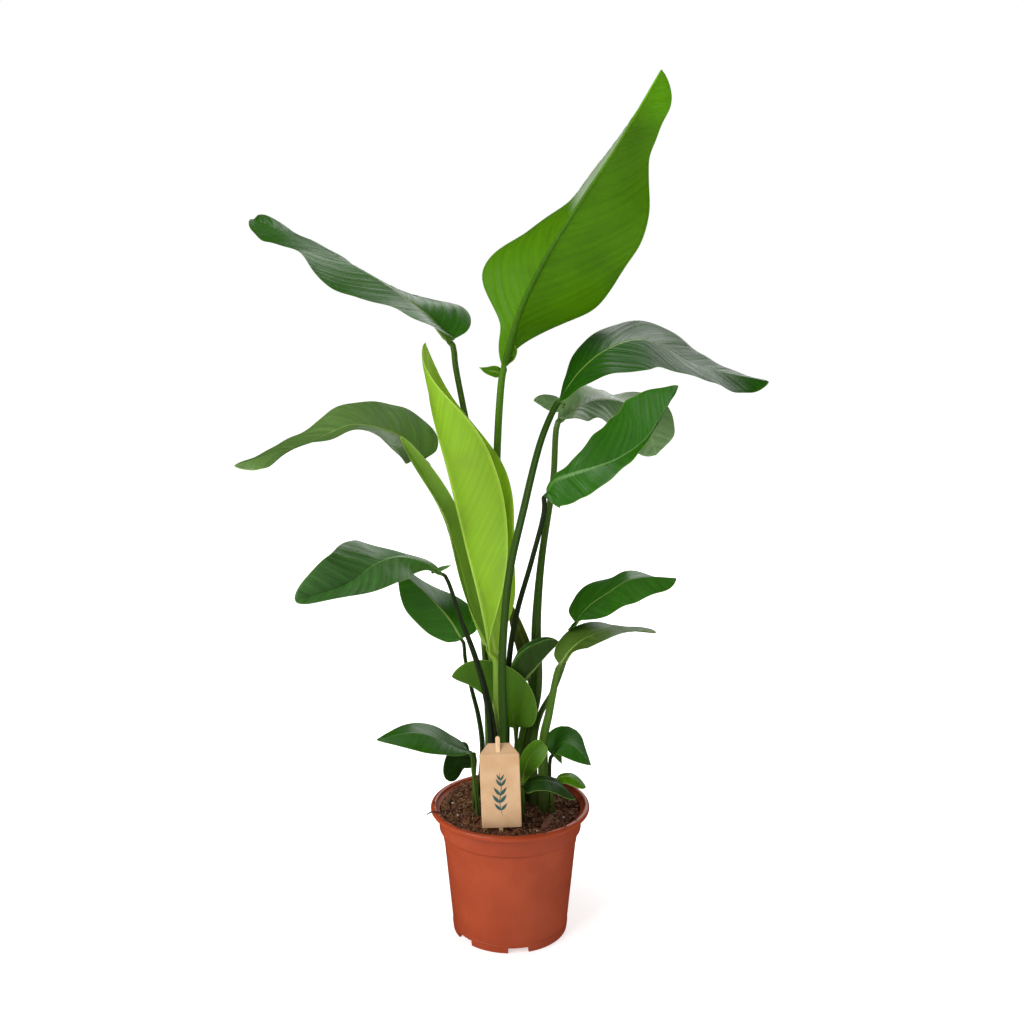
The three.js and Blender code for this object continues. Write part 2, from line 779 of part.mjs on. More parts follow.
// Radius of the pot's inner wall at a height above its base: it follows the wall's outside
function potInnerRadius(z) {
  const { clamp, mapLinear } = THREE.MathUtils;
  const foot = POT_FOOT_RADIUS + 0.6;
  const low = clamp(z, POT_BASE_TOP, POT_STEP_HEIGHT);
  const wall = mapLinear(low, POT_BASE_TOP, POT_STEP_HEIGHT, foot, POT_STEP_RADIUS);
  const taper = clamp((z - POT_STEP_HEIGHT) / (POT_SHOULDER_HEIGHT - POT_STEP_HEIGHT), 0, 1);
  const under = POT_HEIGHT - POT_LIP_DEPTH;
  const collar = clamp((z - POT_SHOULDER_HEIGHT) / (under - POT_SHOULDER_HEIGHT), 0, 1);
  return wall + taper * (POT_SHOULDER_RADIUS - POT_STEP_RADIUS)
    + collar * (POT_COLLAR_RADIUS - POT_SHOULDER_RADIUS) - POT_WALL;
}

function potGeometry() {
  const foot = POT_FOOT_RADIUS;
  const lip = POT_LIP_RADIUS;
  const top = POT_HEIGHT;
  const profile = [
    [0, POT_BASE_UNDERSIDE],
    [foot - 2.8, POT_BASE_UNDERSIDE],
    [foot - 2.8, 0],
    [foot, 0],
    [foot + 0.9, POT_FOOT_BAND],
    [foot + 0.5, POT_FOOT_BAND + 0.8],
    [POT_STEP_RADIUS, POT_STEP_HEIGHT],
    [POT_SHOULDER_RADIUS - 1, POT_SHOULDER_HEIGHT - 1.2],
    [POT_SHOULDER_RADIUS, POT_SHOULDER_HEIGHT],
    [POT_COLLAR_RADIUS, top - POT_LIP_DEPTH],
    [lip - 1.6, top - 6],
    [lip, top - 4.6],
    [lip, top - 2.4],
    [lip - 1.6, top - 0.4],
    [lip - 3.4, top],
    [lip - 5.4, top - 0.8],
    [lip - 6.6, top - 2.6],
    [potInnerRadius(top - 5), top - 5],
    [potInnerRadius(POT_SHOULDER_HEIGHT), POT_SHOULDER_HEIGHT],
    [potInnerRadius(POT_STEP_HEIGHT), POT_STEP_HEIGHT],
    [potInnerRadius(POT_BASE_TOP), POT_BASE_TOP],
    [0, POT_BASE_TOP],
  ];
  const cutters = NOTCH_BEARINGS.map((bearing) => {
    const notch = new THREE.BoxGeometry(NOTCH_WIDTH, 14, 2 * NOTCH_HEIGHT);
    return notch.translate(0, -foot, 0).rotateZ(degrees(bearing));
  });
  for (let k = 0; k < DRAIN_COUNT; k++) {
    const drain = new THREE.CylinderGeometry(DRAIN_RADIUS, DRAIN_RADIUS, 12, 10).rotateX(Math.PI / 2);
    cutters.push(drain.translate(0, DRAIN_CIRCLE, POT_BASE_TOP).rotateZ(degrees(360 / DRAIN_COUNT * k)));
  }
  return cutAll(lathed(profile, POT_SIDES), cutters);
}

// Height of the peat: a low mound that is higher at the back left, with soft lumps
function soilHeight(x, y) {
  const reach = Math.hypot(x, y) / POT_COLLAR_RADIUS;
  const mound = SOIL_CROWN * (1 - reach * reach);
  const heap = 5 * Math.exp(-((x + 44) ** 2 + (y - 38) ** 2) / 900);
  const lumps = 1.1 * Math.sin(x * 0.16 + 1) * Math.sin(y * 0.19 + 2) + 0.7 * Math.sin(x * 0.31 - y * 0.27);
  return SOIL_EDGE + mound + heap + lumps;
}

function soilGeometry(stalks) {
  const skin = new Skin();
  const floor = POT_BASE_TOP + GAP;
  const round = (radius, heightAt) => {
    const ring = [];
    for (let k = 0; k < SOIL_SIDES; k++) {
      const turn = 2 * Math.PI * k / SOIL_SIDES;
      const x = radius * Math.cos(turn);
      const y = radius * Math.sin(turn);
      ring.push(new THREE.Vector3(x, y, heightAt(x, y)));
    }
    return skin.addAll(ring);
  };
  // A coarser soil outline keeps its corners inside the pot's own flats
  const inside = (z) => (potInnerRadius(z) - GAP) * Math.cos(Math.PI / POT_SIDES) - 0.2;
  const wall = [floor, POT_STEP_HEIGHT, POT_SHOULDER_HEIGHT].map((z) => round(inside(z), () => z));
  const rim = inside(SOIL_EDGE);
  const surface = SOIL_RINGS.map((share) => round(share * rim, soilHeight));
  const rings = [...wall, ...surface.slice().reverse()];
  for (let i = 0; i < rings.length - 1; i++) skin.belt(rings[i], rings[i + 1]);
  skin.cap(rings[0], true);
  skin.cap(rings[rings.length - 1], false);
  return cutAll(skin.geometry(), stalks);
}

// Space around a leaf's stalk where it passes through the soil, up to the first ring clear of it
function stalkHole(leaf) {
  const skin = new Skin();
  const rings = stalkRings(leaf, HOLE_CLEARANCE);
  const last = rings.findIndex((ring) => ring.every((point) => point.z > SOIL_CLEAR));
  for (const point of rings[0]) point.z -= HOLE_CLEARANCE;
  const placed = rings.slice(0, last + 1).map((ring) => skin.addAll(ring));
  for (let i = 0; i < placed.length - 1; i++) skin.belt(placed[i], placed[i + 1]);
  skin.cap(placed[0], true);
  skin.cap(placed[placed.length - 1], false);
  return skin.geometry();
}

// The tag's own frame: X across, Y back from the card's face, Z up, with the fold at its origin
function placeTag(object) {
  object.position.set(...TAG_FOLD_PLACE);
  object.rotation.set(0, degrees(TAG_TILT), 0);
  return object;
}

function tagGeometry() {
  const body = new THREE.BoxGeometry(TAG_WIDTH, TAG_THICKNESS, TAG_DROP);
  body.translate(0, TAG_THICKNESS / 2, -TAG_DROP / 2);
  const outline = new THREE.Shape([
    new THREE.Vector2(-TAG_WIDTH / 2, -0.5),
    new THREE.Vector2(TAG_WIDTH / 2, -0.5),
    new THREE.Vector2(TAG_WIDTH / 2, 0),
    new THREE.Vector2(TAG_FLAP_TOP_WIDTH / 2, TAG_FLAP),
    new THREE.Vector2(-TAG_FLAP_TOP_WIDTH / 2, TAG_FLAP),
    new THREE.Vector2(-TAG_WIDTH / 2, 0),
  ]);
  const flap = new THREE.ExtrudeGeometry(outline, { depth: TAG_THICKNESS, bevelEnabled: false });
  flap.rotateX(Math.PI / 2).translate(0, TAG_THICKNESS, 0);
  flap.rotateX(degrees(-TAG_FLAP_ANGLE));
  const card = solidOf(body).add(solidOf(flap));
  const slot = new THREE.BoxGeometry(STICK_WIDTH + 2 * GAP, STICK_THICKNESS + 3 * GAP, 14);
  slot.translate(STICK_SIDEWAYS, stickDepth(), 6.5);
  return geometryOf(card.subtract(solidOf(slot)));
}

function stickDepth() {
  return TAG_THICKNESS + GAP + STICK_THICKNESS / 2;
}

function stickGeometry(extra = 0) {
  const top = STICK_ABOVE_FOLD;
  const foot = STICK_FOOT - TAG_FOLD_PLACE[2];
  const half = STICK_WIDTH / 2 + extra;
  const shape = new THREE.Shape();
  shape.moveTo(-half, foot - extra);
  shape.lineTo(half, foot - extra);
  shape.lineTo(half, top - half);
  shape.absarc(0, top - half, half, 0, Math.PI, false);
  shape.closePath();
  const thickness = STICK_THICKNESS + 2 * extra;
  const stick = new THREE.ExtrudeGeometry(shape, { depth: thickness, bevelEnabled: false, curveSegments: 6 });
  return stick.rotateX(Math.PI / 2).translate(STICK_SIDEWAYS, stickDepth() + thickness / 2, 0);
}

const MATERIALS = {
  terracotta_plastic: { color: 0xb4553a, roughness: 0.5, metalness: 0 },
  peat: { color: 0x3a2418, roughness: 1, metalness: 0 },
  kraft_card: { color: 0xe0b688, roughness: 0.85, metalness: 0 },
  bare_wood: { color: 0xe8c79c, roughness: 0.75, metalness: 0 },
  leaf_green: { color: 0x2f6a26, roughness: 0.4, metalness: 0 },
  young_leaf: { color: 0x8cbc3c, roughness: 0.4, metalness: 0 },
  bright_leaf: { color: 0x4f8f24, roughness: 0.4, metalness: 0 },
  old_leaf: { color: 0x5d6a25, roughness: 0.55, metalness: 0 },
};

function piece(name, geometry, material) {
  const mesh = new THREE.Mesh(geometry, new THREE.MeshStandardMaterial(MATERIALS[material]));
  mesh.name = name;
  return mesh;
}

const plant = new THREE.Group();
plant.name = 'potted_bird_of_paradise';
plant.add(piece('pot', potGeometry(), 'terracotta_plastic'));

const tag = placeTag(new THREE.Group());
tag.add(piece('tag', tagGeometry(), 'kraft_card'));
tag.add(piece('tag_stick', stickGeometry(), 'bare_wood'));
plant.add(tag);

tag.updateMatrixWorld(true);
const stickHole = stickGeometry(GAP).applyMatrix4(tag.matrixWorld);
const leaves = LEAVES.map((leaf) => ({ ...LEAF_DEFAULTS, ...leaf }));
plant.add(piece('soil', soilGeometry([...leaves.map(stalkHole), stickHole]), 'peat'));
for (const leaf of leaves) plant.add(piece(leaf.name, leafGeometry(leaf), leaf.finish));

export default plant;
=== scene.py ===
import bpy
import numpy as np
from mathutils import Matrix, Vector


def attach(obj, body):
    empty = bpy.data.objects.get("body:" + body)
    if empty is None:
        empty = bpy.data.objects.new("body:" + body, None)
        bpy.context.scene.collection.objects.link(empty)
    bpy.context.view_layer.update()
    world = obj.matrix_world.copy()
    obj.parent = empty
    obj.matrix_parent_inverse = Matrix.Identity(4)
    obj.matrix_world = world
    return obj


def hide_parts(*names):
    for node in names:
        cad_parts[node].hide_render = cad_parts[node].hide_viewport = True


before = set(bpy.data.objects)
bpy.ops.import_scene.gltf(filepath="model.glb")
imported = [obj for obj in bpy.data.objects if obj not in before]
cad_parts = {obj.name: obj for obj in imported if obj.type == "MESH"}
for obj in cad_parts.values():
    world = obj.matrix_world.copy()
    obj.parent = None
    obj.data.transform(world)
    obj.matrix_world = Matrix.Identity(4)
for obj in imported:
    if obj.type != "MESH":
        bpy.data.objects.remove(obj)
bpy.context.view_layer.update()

# The nursery pot. One thin moulding of terracotta-coloured polypropylene: a tapered wall with a
# foot band, a flared shoulder, a collar and a rolled lip. The foot is notched so that water can run
# out, and the base is pierced by six drain holes. Sizes in this file are in millimetres.
POT_LIP = 85.0
POT_HEIGHT = 141.0
POT_FOOT = 61.5
POT_STEP = 70.4
POT_UNDERSIDE = 6.0
POT_NOTCHES = (8.5, -51.5, 128.5, 188.5, 248.5)
POT_NOTCH_HALF = 10.3
POT_NOTCH_RISE = 5.7
POT_NOTCH_EDGE = 0.12
POT_BAND = 8.0
DRAIN_HOLES = 6
DRAIN_RADIUS = 5.0
DRAIN_CIRCLE = 44.0


def route(points, count):
    """Evenly spaced points and directions on a smooth curve through the given points.

    Each span is a cubic Hermite curve whose knots lie apart by the square root of the chord, which
    is a centripetal Catmull-Rom curve, and the ends carry on straight. The curve is then read at
    equal lengths along itself.
    """
    p = np.asarray(points, float)
    p = np.vstack((2 * p[0] - p[1], p, 2 * p[-1] - p[-2]))
    gap = np.sqrt(np.linalg.norm(np.diff(p, axis=0), axis=1))[:, None]
    slope = np.diff(p, axis=0) / gap
    chord = (p[2:] - p[:-2]) / (gap[1:] + gap[:-1])
    first = (slope[:-2] - chord[:-1] + slope[1:-1]) * gap[1:-1]
    last = (slope[1:-1] - chord[1:] + slope[2:]) * gap[1:-1]
    u = np.linspace(0, 1, 60, endpoint=False)[None, :, None]
    a, b = p[1:-2, None], p[2:-1, None]
    m, n = first[:, None], last[:, None]
    cubic = a + m * u + (3 * (b - a) - 2 * m - n) * u ** 2 + (2 * (a - b) + m + n) * u ** 3
    dense = np.vstack((cubic.reshape(-1, p.shape[1]), p[-2]))
    length = np.append(0, np.cumsum(np.linalg.norm(np.diff(dense, axis=0), axis=1)))
    at = np.linspace(0, length[-1], count) if np.isscalar(count) else np.asarray(count) * length[-1]
    placed = np.stack([np.interp(at, length, dense[:, k]) for k in range(p.shape[1])], axis=1)
    fine = np.gradient(dense, length, axis=0)
    heading = np.stack([np.interp(at, length, fine[:, k]) for k in range(p.shape[1])], axis=1)
    return placed, heading / np.linalg.norm(heading, axis=1)[:, None], length[-1]


def grid_quads(rows, columns, round_columns=False):
    """Quads between the points of a grid, in row order. Round columns close on the first one."""
    i = np.arange(rows - 1)[:, None]
    j = np.arange(columns if round_columns else columns - 1)[None, :]
    right = (j + 1) % columns
    corners = (i * columns + j, i * columns + right, (i + 1) * columns + right, (i + 1) * columns + j)
    return np.stack(np.broadcast_arrays(*corners), axis=-1).reshape(-1, 4)


def weld(points, quads, data):
    """Joins points that share a place, and turns a quad that loses a corner into a triangle."""
    _, first, index = np.unique(np.round(points, 4), axis=0, return_index=True, return_inverse=True)
    quads = index.reshape(-1)[quads]
    same = quads == np.roll(quads, -1, axis=1)
    triangles = quads[same.sum(axis=1) == 1][~same[same.sum(axis=1) == 1]].reshape(-1, 3)
    return points[first], [quads[same.sum(axis=1) == 0], triangles], {k: v[first] for k, v in data.items()}


def outward(points, faces):
    """Turns every face round where the closed surface has its inside out, by its signed volume."""
    volume = 0.0
    for f in faces:
        for k in range(1, f.shape[1] - 1):
            a, b, c = points[f[:, 0]], points[f[:, k]], points[f[:, k + 1]]
            volume += np.einsum("ij,ij->", a, np.cross(b, c))
    return [f[:, ::-1] for f in faces] if volume < 0 else faces


def surface(points, columns, round_columns=False, **data):
    """A closed surface from a grid of points: its welded points, outward faces and point values."""
    points = np.asarray(points, float).reshape(-1, 3)
    values = {k: np.asarray(v, float).reshape(-1) for k, v in data.items()}
    points, faces, values = weld(points, grid_quads(len(points) // columns, columns, round_columns), values)
    return points, outward(points, faces), values


def piece(name, surfaces, material, node=None, sharp=50.0):
    """One Blender object from several closed surfaces, riding on the plant's only body."""
    points, faces, start = [], [], 0
    for place, parts, _ in surfaces:
        faces += [part + start for part in parts if len(part)]
        points.append(place)
        start += len(place)
    mesh = bpy.data.meshes.new(name)
    mesh.vertices.add(start)
    mesh.vertices.foreach_set("co", (np.vstack(points) / 1000).astype(np.float32).ravel())
    sizes = np.concatenate([np.full(len(f), f.shape[1]) for f in faces])
    corners = np.concatenate([f.ravel() for f in faces])
    mesh.loops.add(len(corners))
    mesh.loops.foreach_set("vertex_index", corners.astype(np.int32))
    mesh.polygons.add(len(sizes))
    mesh.polygons.foreach_set("loop_start", np.append(0, np.cumsum(sizes)[:-1]).astype(np.int32))
    for key in surfaces[0][2]:
        values = np.concatenate([data[key] for _, _, data in surfaces])
        mesh.attributes.new(key, "FLOAT", "POINT").data.foreach_set("value", values.astype(np.float32))
    mesh.update(calc_edges=True)
    mesh.validate()
    mesh.polygons.foreach_set("use_smooth", np.ones(len(mesh.polygons), bool))
    mesh.set_sharp_from_angle(angle=np.radians(sharp))
    mesh.materials.append(material)
    made = bpy.data.objects.new(name, mesh)
    bpy.context.scene.collection.objects.link(made)
    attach(made, "root")
    if node:
        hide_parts(node)
    return made


class Value:
    """A number that varies over a surface. Sums on it become Math nodes of its finish."""

    def __init__(self, finish, socket):
        self.finish = finish
        self.socket = socket

    def _math(self, operation, *values):
        return self.finish.node("ShaderNodeMath", {"operation": operation}, dict(enumerate(values)))

    def __add__(self, other):
        return self._math("ADD", self, other)

    def __sub__(self, other):
        return self._math("SUBTRACT", self, other)

    def __rsub__(self, other):
        return self._math("SUBTRACT", other, self)

    def __mul__(self, other):
        return self._math("MULTIPLY", self, other)

    def __truediv__(self, other):
        return self._math("DIVIDE", self, other)

    def __rtruediv__(self, other):
        return self._math("DIVIDE", other, self)

    def __abs__(self):
        return self._math("ABSOLUTE", self)

    __radd__ = __add__
    __rmul__ = __mul__

    def wave(self):
        """The sine of the number."""
        return self._math("SINE", self)

    def ramp(self, low, high, start=0.0, end=1.0):
        """Runs smoothly from start to end while the number goes from low to high."""
        sockets = {"Value": self, "From Min": low, "From Max": high, "To Min": start, "To Max": end}
        return self.finish.node("ShaderNodeMapRange", {"interpolation_type": "SMOOTHSTEP"}, sockets)


class Finish:
    """The nodes of one finish."""

    def __init__(self, name):
        self.material = bpy.data.materials.new(name)
        self.material.use_nodes = True
        self.tree = self.material.node_tree
        self.tree.nodes.clear()

    def node(self, kind, settings=None, sockets=None, out=0):
        """One node: its settings are made first, then its sockets get values or links."""
        made = self.tree.nodes.new(kind)
        for key, value in (settings or {}).items():
            setattr(made, key, value)
        for key, value in (sockets or {}).items():
            if isinstance(value, Value):
                self.tree.links.new(value.socket, made.inputs[key])
            else:
                made.inputs[key].default_value = value
        return Value(self, made.outputs[out])

    def place(self):
        """The point on the object, in metres."""
        return self.node("ShaderNodeTexCoord", out="Object")

    def read(self, name):
        """A value that the mesh carries at its points."""
        return self.node("ShaderNodeAttribute", {"attribute_name": name}, out="Fac")

    def vector(self, x, y, z):
        return self.node("ShaderNodeCombineXYZ", None, {0: x, 1: y, 2: z})

    def noise(self, vector, scale, detail=2.0, rough=0.5):
        """Soft random clouds between 0 and 1, about 0.5."""
        sockets = {"Vector": vector, "Scale": scale, "Detail": detail, "Roughness": rough}
        return self.node("ShaderNodeTexNoise", None, sockets)

    def mix(self, share, one, other):
        """A colour between two colours."""
        return self.node("ShaderNodeMix", {"data_type": "RGBA"}, {0: share, 6: one, 7: other}, out=2)

    def bump(self, height, metres, strength=1.0):
        return self.node("ShaderNodeBump", None, {"Height": height, "Distance": metres, "Strength": strength})

    def skin(self, colour, roughness, normal=None, **fixed):
        """The surface itself, with any fixed properties by their socket names."""
        sockets = {"Base Color": colour, "Roughness": roughness}
        if normal:
            sockets["Normal"] = normal
        sockets.update({key.replace("_", " "): value for key, value in fixed.items()})
        return self.node("ShaderNodeBsdfPrincipled", None, sockets)

    def done(self, shader):
        end = self.tree.nodes.new("ShaderNodeOutputMaterial")
        self.tree.links.new(shader.socket, end.inputs["Surface"])
        return self.material


def tint(red, green, blue):
    """A colour given as 0 to 255 of a screen, in the light values that shaders use."""
    screen = np.array([red, green, blue]) / 255
    light = np.where(screen > 0.04045, ((screen + 0.055) / 1.055) ** 2.4, screen / 12.92)
    return (*(float(v) for v in light), 1.0)


def pot_wall():
    """The wall: a closed profile of radius and height, carried once round the axis.

    Corners of the profile are joined by smooth runs of the route curve. Under a notch, a point
    at height z moves up by 5.7 (1 - z / 8), which lifts the foot's edge and leaves the band.
    """
    inner_foot = POT_FOOT - 1.0
    runs = [
        ([(58.7, POT_UNDERSIDE), (58.7, 3), (58.75, 0.4)], 5),
        ([(58.75, 0.4), (59.1, 0), (61.1, 0), (POT_FOOT, 0.35)], 8),
        ([(POT_FOOT, 0.35), (62.0, 4), (62.35, 7.6)], 8),
        ([(62.35, 7.6), (62.45, 8.0), (62.3, 8.5), (62.0, 9.0)], 6),
        ([(62.0, 9.0), (66.2, 53), (POT_STEP, 97)], 26),
        ([(POT_STEP, 97), (71.6, 104), (72.9, 111), (73.6, 114.4)], 12),
        ([(73.6, 114.4), (73.8, 115.1), (75.0, 115.2)], 5),
        ([(75.0, 115.2), (75.7, 115.4), (76.0, 116.0), (76.0, 117.2)], 8),
        ([(76.0, 117.2), (76.3, 125), (76.5, 133.6)], 12),
        ([(76.5, 133.6), (77.2, 134.7), (80.0, 135.1), (83.2, 135.2)], 10),
        ([(83.2, 135.2), (84.6, 136.0), (POT_LIP, 137.6), (84.5, 139.5), (82.9, 140.7), (81.2, POT_HEIGHT),
          (79.4, 140.3), (78.5, 138.6)], 26),
    ]
    inner_runs = [
        ([(78.5, 138.6), (77.0, 137.0), (75.2, 135.6)], 8),
        ([(75.2, 135.6), (74.6, 126), (74.0, 117)], 8),
        ([(74.0, 117), (71.4, 106), (68.9, 97)], 6),
        ([(68.9, 97), (64.6, 50), (inner_foot, 8.5)], 8),
        ([(inner_foot, 8.5), (58.7, 6.6), (58.7, POT_UNDERSIDE)], 4),
    ]
    profile = np.vstack([route(points, count)[0][:-1] for points, count in runs + inner_runs])
    inner = np.arange(len(profile) + 1) >= sum(count - 1 for _, count in runs)
    plain = np.arange(0, 360, 1.25)
    edges = np.add.outer(np.array(POT_NOTCHES) % 360, [-POT_NOTCH_HALF, POT_NOTCH_HALF])
    edges = np.add.outer(edges, [-POT_NOTCH_EDGE, POT_NOTCH_EDGE]).ravel() % 360
    bearing = np.unique(np.append(plain, edges))
    away = np.abs((bearing[:, None] - np.array(POT_NOTCHES) + 180) % 360 - 180).min(axis=1)
    open_share = np.clip((POT_NOTCH_HALF - away) / POT_NOTCH_EDGE, 0, 1)
    worn_notch = np.cos(np.radians(bearing + 52)) > 0.94
    ragged = 0.35 * np.sin(bearing * 1.9) * np.sin(bearing * 0.83 + 1) * worn_notch
    radius, height = profile[:, 0][None, :], profile[:, 1][None, :]
    lift = (POT_NOTCH_RISE + ragged[:, None]) * np.clip(1 - height / POT_BAND, 0, 1)
    lift = np.where(radius < 59.0, POT_NOTCH_RISE * np.clip(1 - height / POT_UNDERSIDE, 0, 1), lift)
    z = np.maximum(height, 0) + open_share[:, None] * lift * (height < POT_BAND)
    turn = np.radians(bearing)[:, None]
    points = np.stack((radius * np.sin(turn), -radius * np.cos(turn), z + 0 * turn), axis=-1)
    closed = np.concatenate((points, points[:1]))
    closed = np.concatenate((closed, closed[:, :1]), axis=1)
    return surface(closed, closed.shape[1], inner=np.broadcast_to(inner, closed.shape[:2]))


def pot_base():
    """The base plate: six like wedges, each one drain hole wide.

    In a wedge, rays leave the hole's rim and end on the wedge's outline, and a point at share q of
    a ray lies that far out along it. The rings of upper and under side meet in the hole's wall.
    """
    half = np.pi / DRAIN_HOLES
    rim = 60.0
    rim_x, rim_y = rim * np.cos(half), rim * np.sin(half)
    corners = np.array([[0, 0], [rim_x, -rim_y], [rim_x, rim_y]])
    hole = np.array([DRAIN_CIRCLE, 0])
    toward = np.unwrap(np.arctan2(*(corners[[1, 2, 0]] - hole).T[::-1]))
    rays = np.concatenate([np.linspace(toward[k], (*toward, toward[0] + 2 * np.pi)[k + 1], n, endpoint=False)
                           for k, n in ((0, 16), (1, 16), (2, 16))])
    way = np.stack((np.cos(rays), np.sin(rays)), axis=1)
    reach = np.full(len(rays), np.inf)
    for side in (-1, 1):
        normal = np.array([-np.sin(half), side * np.cos(half)])
        into = way @ normal
        meets = into > 1e-9
        reach = np.where(meets, np.minimum(reach, -(hole @ normal) / np.where(meets, into, 1)), reach)
    b = way @ hole
    reach = np.minimum(reach, -b + np.sqrt(b * b - hole @ hole + rim * rim))
    share = np.linspace(0, 1, 9)[:, None]
    flat = hole + way * (DRAIN_RADIUS + (reach[:, None] - DRAIN_RADIUS) * share[:, :, None])
    under = np.concatenate((flat, np.full(flat.shape[:2] + (1,), POT_UNDERSIDE)), axis=2)
    upper = np.concatenate((flat, np.full(flat.shape[:2] + (1,), POT_UNDERSIDE + 2.5)), axis=2)
    wedge = np.concatenate((under[::-1], upper))
    turned = []
    for k in range(DRAIN_HOLES):
        c, s = np.cos(np.pi / 2 + 2 * half * k), np.sin(np.pi / 2 + 2 * half * k)
        turned.append(wedge @ np.array([[c, s, 0], [-s, c, 0], [0, 0, 1]]))
    rows, columns = wedge.shape[:2]
    quads = grid_quads(rows, columns, True)
    here, last = np.arange(16), (rows - 1) * columns
    rimmed = np.stack((here, last + here, last + here + 1, here + 1), axis=1)
    quads = np.vstack((quads, rimmed))
    together = np.vstack([quads + k * rows * columns for k in range(DRAIN_HOLES)])
    points, faces, _ = weld(np.concatenate(turned).reshape(-1, 3), together, {})
    return points, outward(points, faces), {"inner": (points[:, 2] > 8).astype(float)}


def terracotta_plastic():
    """Moulded plastic: an even orange brown with faint clouding, fine scuffs, peat dust inside, and a painted
    shade line under the ledge.
    """
    f = Finish("terracotta_plastic")
    place = f.place()
    height = f.node("ShaderNodeSeparateXYZ", None, {0: place}, out="Z")
    cloud = f.noise(place, 22.0, 4.0, 0.6)
    speck = f.noise(place, 900.0, 2.0)
    drawn = f.node("ShaderNodeMapping", None, {"Vector": place, "Scale": (1.0, 1.0, 7.0)})
    scuff = f.noise(drawn, 60.0, 5.0, 0.7)
    colour = f.mix(cloud.ramp(0.3, 0.7), tint(158, 62, 29), tint(170, 70, 35))
    colour = f.mix(speck.ramp(0.62, 0.8) * 0.2, colour, tint(136, 52, 26))
    lip = height.ramp(0.134, 0.136)
    # Just under the collar's ledge, a darker band: painted shade where the ledge overhangs the wall.
    under_collar_shade = height.ramp(0.111, 0.1148) * height.ramp(0.1156, 0.115)
    colour = f.mix(under_collar_shade * 0.3, colour, tint(96, 36, 20))
    dust = height.ramp(0.1405, 0.129) * f.noise(place, 240.0, 4.0, 0.7).ramp(0.38, 0.56)
    inner = f.read("inner")
    colour = f.mix(inner * dust * 0.9, colour, tint(72, 48, 34))
    rough = scuff.ramp(0.25, 0.8, 0.32, 0.44) - lip * 0.06 + inner * 0.15
    grain = f.noise(place, 2600.0, 2.0) + cloud * 2.0
    return f.done(f.skin(colour, rough, f.bump(grain, 0.00012, 0.5), Specular_IOR_Level=0.34))


piece("nursery_pot", [pot_wall(), pot_base()], terracotta_plastic(), "pot", sharp=40.0)

# The peat. Dark brown potting peat, filled to just under the lip and heaped a little at the back
# left. It is crumbly: clods and crumbs of every size, beige root fibres, a few white perlite
# grains, a strip of reddish bark and some twigs, one of which lies out over the lip.
PEAT_EDGE = 134.4
PEAT_RADIUS = 74.4
peat_seed = np.random.default_rng(7)


def peat_height(x, y):
    """The height of the peat: a mound that falls off as the square of the radius, plus one heap."""
    mound = 3.0 * (1 - (x * x + y * y) / 76.5 ** 2)
    heap = 5.0 * np.exp(-((x + 44) ** 2 + (y - 38) ** 2) / 900)
    lumps = 1.1 * np.sin(x * 0.16 + 1) * np.sin(y * 0.19 + 2) + 0.7 * np.sin(x * 0.31 - y * 0.27)
    return PEAT_EDGE + mound + heap + lumps


def crumble(x, y, count, smallest, largest, seed):
    """Clods: at each point, the highest of many half-buried balls strewn over the round surface."""
    rng = np.random.default_rng(seed)
    turn, reach = rng.uniform(0, 2 * np.pi, count), PEAT_RADIUS * np.sqrt(rng.uniform(0, 1, count))
    size = smallest * (largest / smallest) ** (rng.uniform(0, 1, count) ** 1.6)
    sunk = size * rng.uniform(0.1, 0.7, count)
    cx, cy = reach * np.cos(turn), reach * np.sin(turn)
    squash = rng.uniform(0.7, 1.3, count)
    best = np.zeros_like(x)
    for part in np.array_split(np.arange(count), max(1, count // 60)):
        dx, dy = x[..., None] - cx[part], y[..., None] - cy[part]
        gap = size[part] ** 2 - (dx * squash[part]) ** 2 - (dy / squash[part]) ** 2
        best = np.maximum(best, (np.sqrt(np.clip(gap, 0, None)) - sunk[part]).max(axis=-1))
    return best


def peat_surface():
    """A round surface of rings, higher and lower with the mound and its clods, closed underneath."""
    share = np.append(np.linspace(0, 1, 105), (1.0, 0.6, 0.0))[:, None]
    turn = np.linspace(0, 2 * np.pi, 421)[None, :]
    edge = PEAT_RADIUS - 0.25 + 0.2 * np.sin(turn * 9)
    x, y = share * edge * np.cos(turn), share * edge * np.sin(turn)
    z = peat_height(x, y) + crumble(x, y, 900, 1.2, 5.0, 3) - 1.6
    z += 0.55 * crumble(x, y, 2600, 0.8, 2.0, 4)
    z = np.minimum(z, PEAT_EDGE + 10)
    z[-3] = PEAT_EDGE - 10
    z[-2:] = PEAT_EDGE - 11
    z[:, -1], z[0], z[-1] = z[:, 0], z[0, 0], z[-1, 0]
    return surface(np.stack((x, y, z), axis=-1), x.shape[1])


def tube(points, radii, sides=6, flat=1.0):
    """A round or flattened bar: a ring of the given radius at each point of a curve, tapering shut."""
    count = len(radii)
    centre, along, _ = route(points, count)
    side = np.cross(along, (0.2, 0.3, 0.9))
    side /= np.linalg.norm(side, axis=1)[:, None]
    up = np.cross(side, along)
    turn = np.linspace(0, 2 * np.pi, sides + 1)
    ring = side[:, None] * np.cos(turn)[:, None] + flat * up[:, None] * np.sin(turn)[:, None]
    body = centre[:, None] + ring * np.asarray(radii)[:, None, None]
    body[:, -1] = body[:, 0]
    ends = np.broadcast_to(centre[[0, -1]][:, None], (2, sides + 1, 3))
    return surface(np.concatenate((ends[:1], body, ends[1:])), sides + 1)


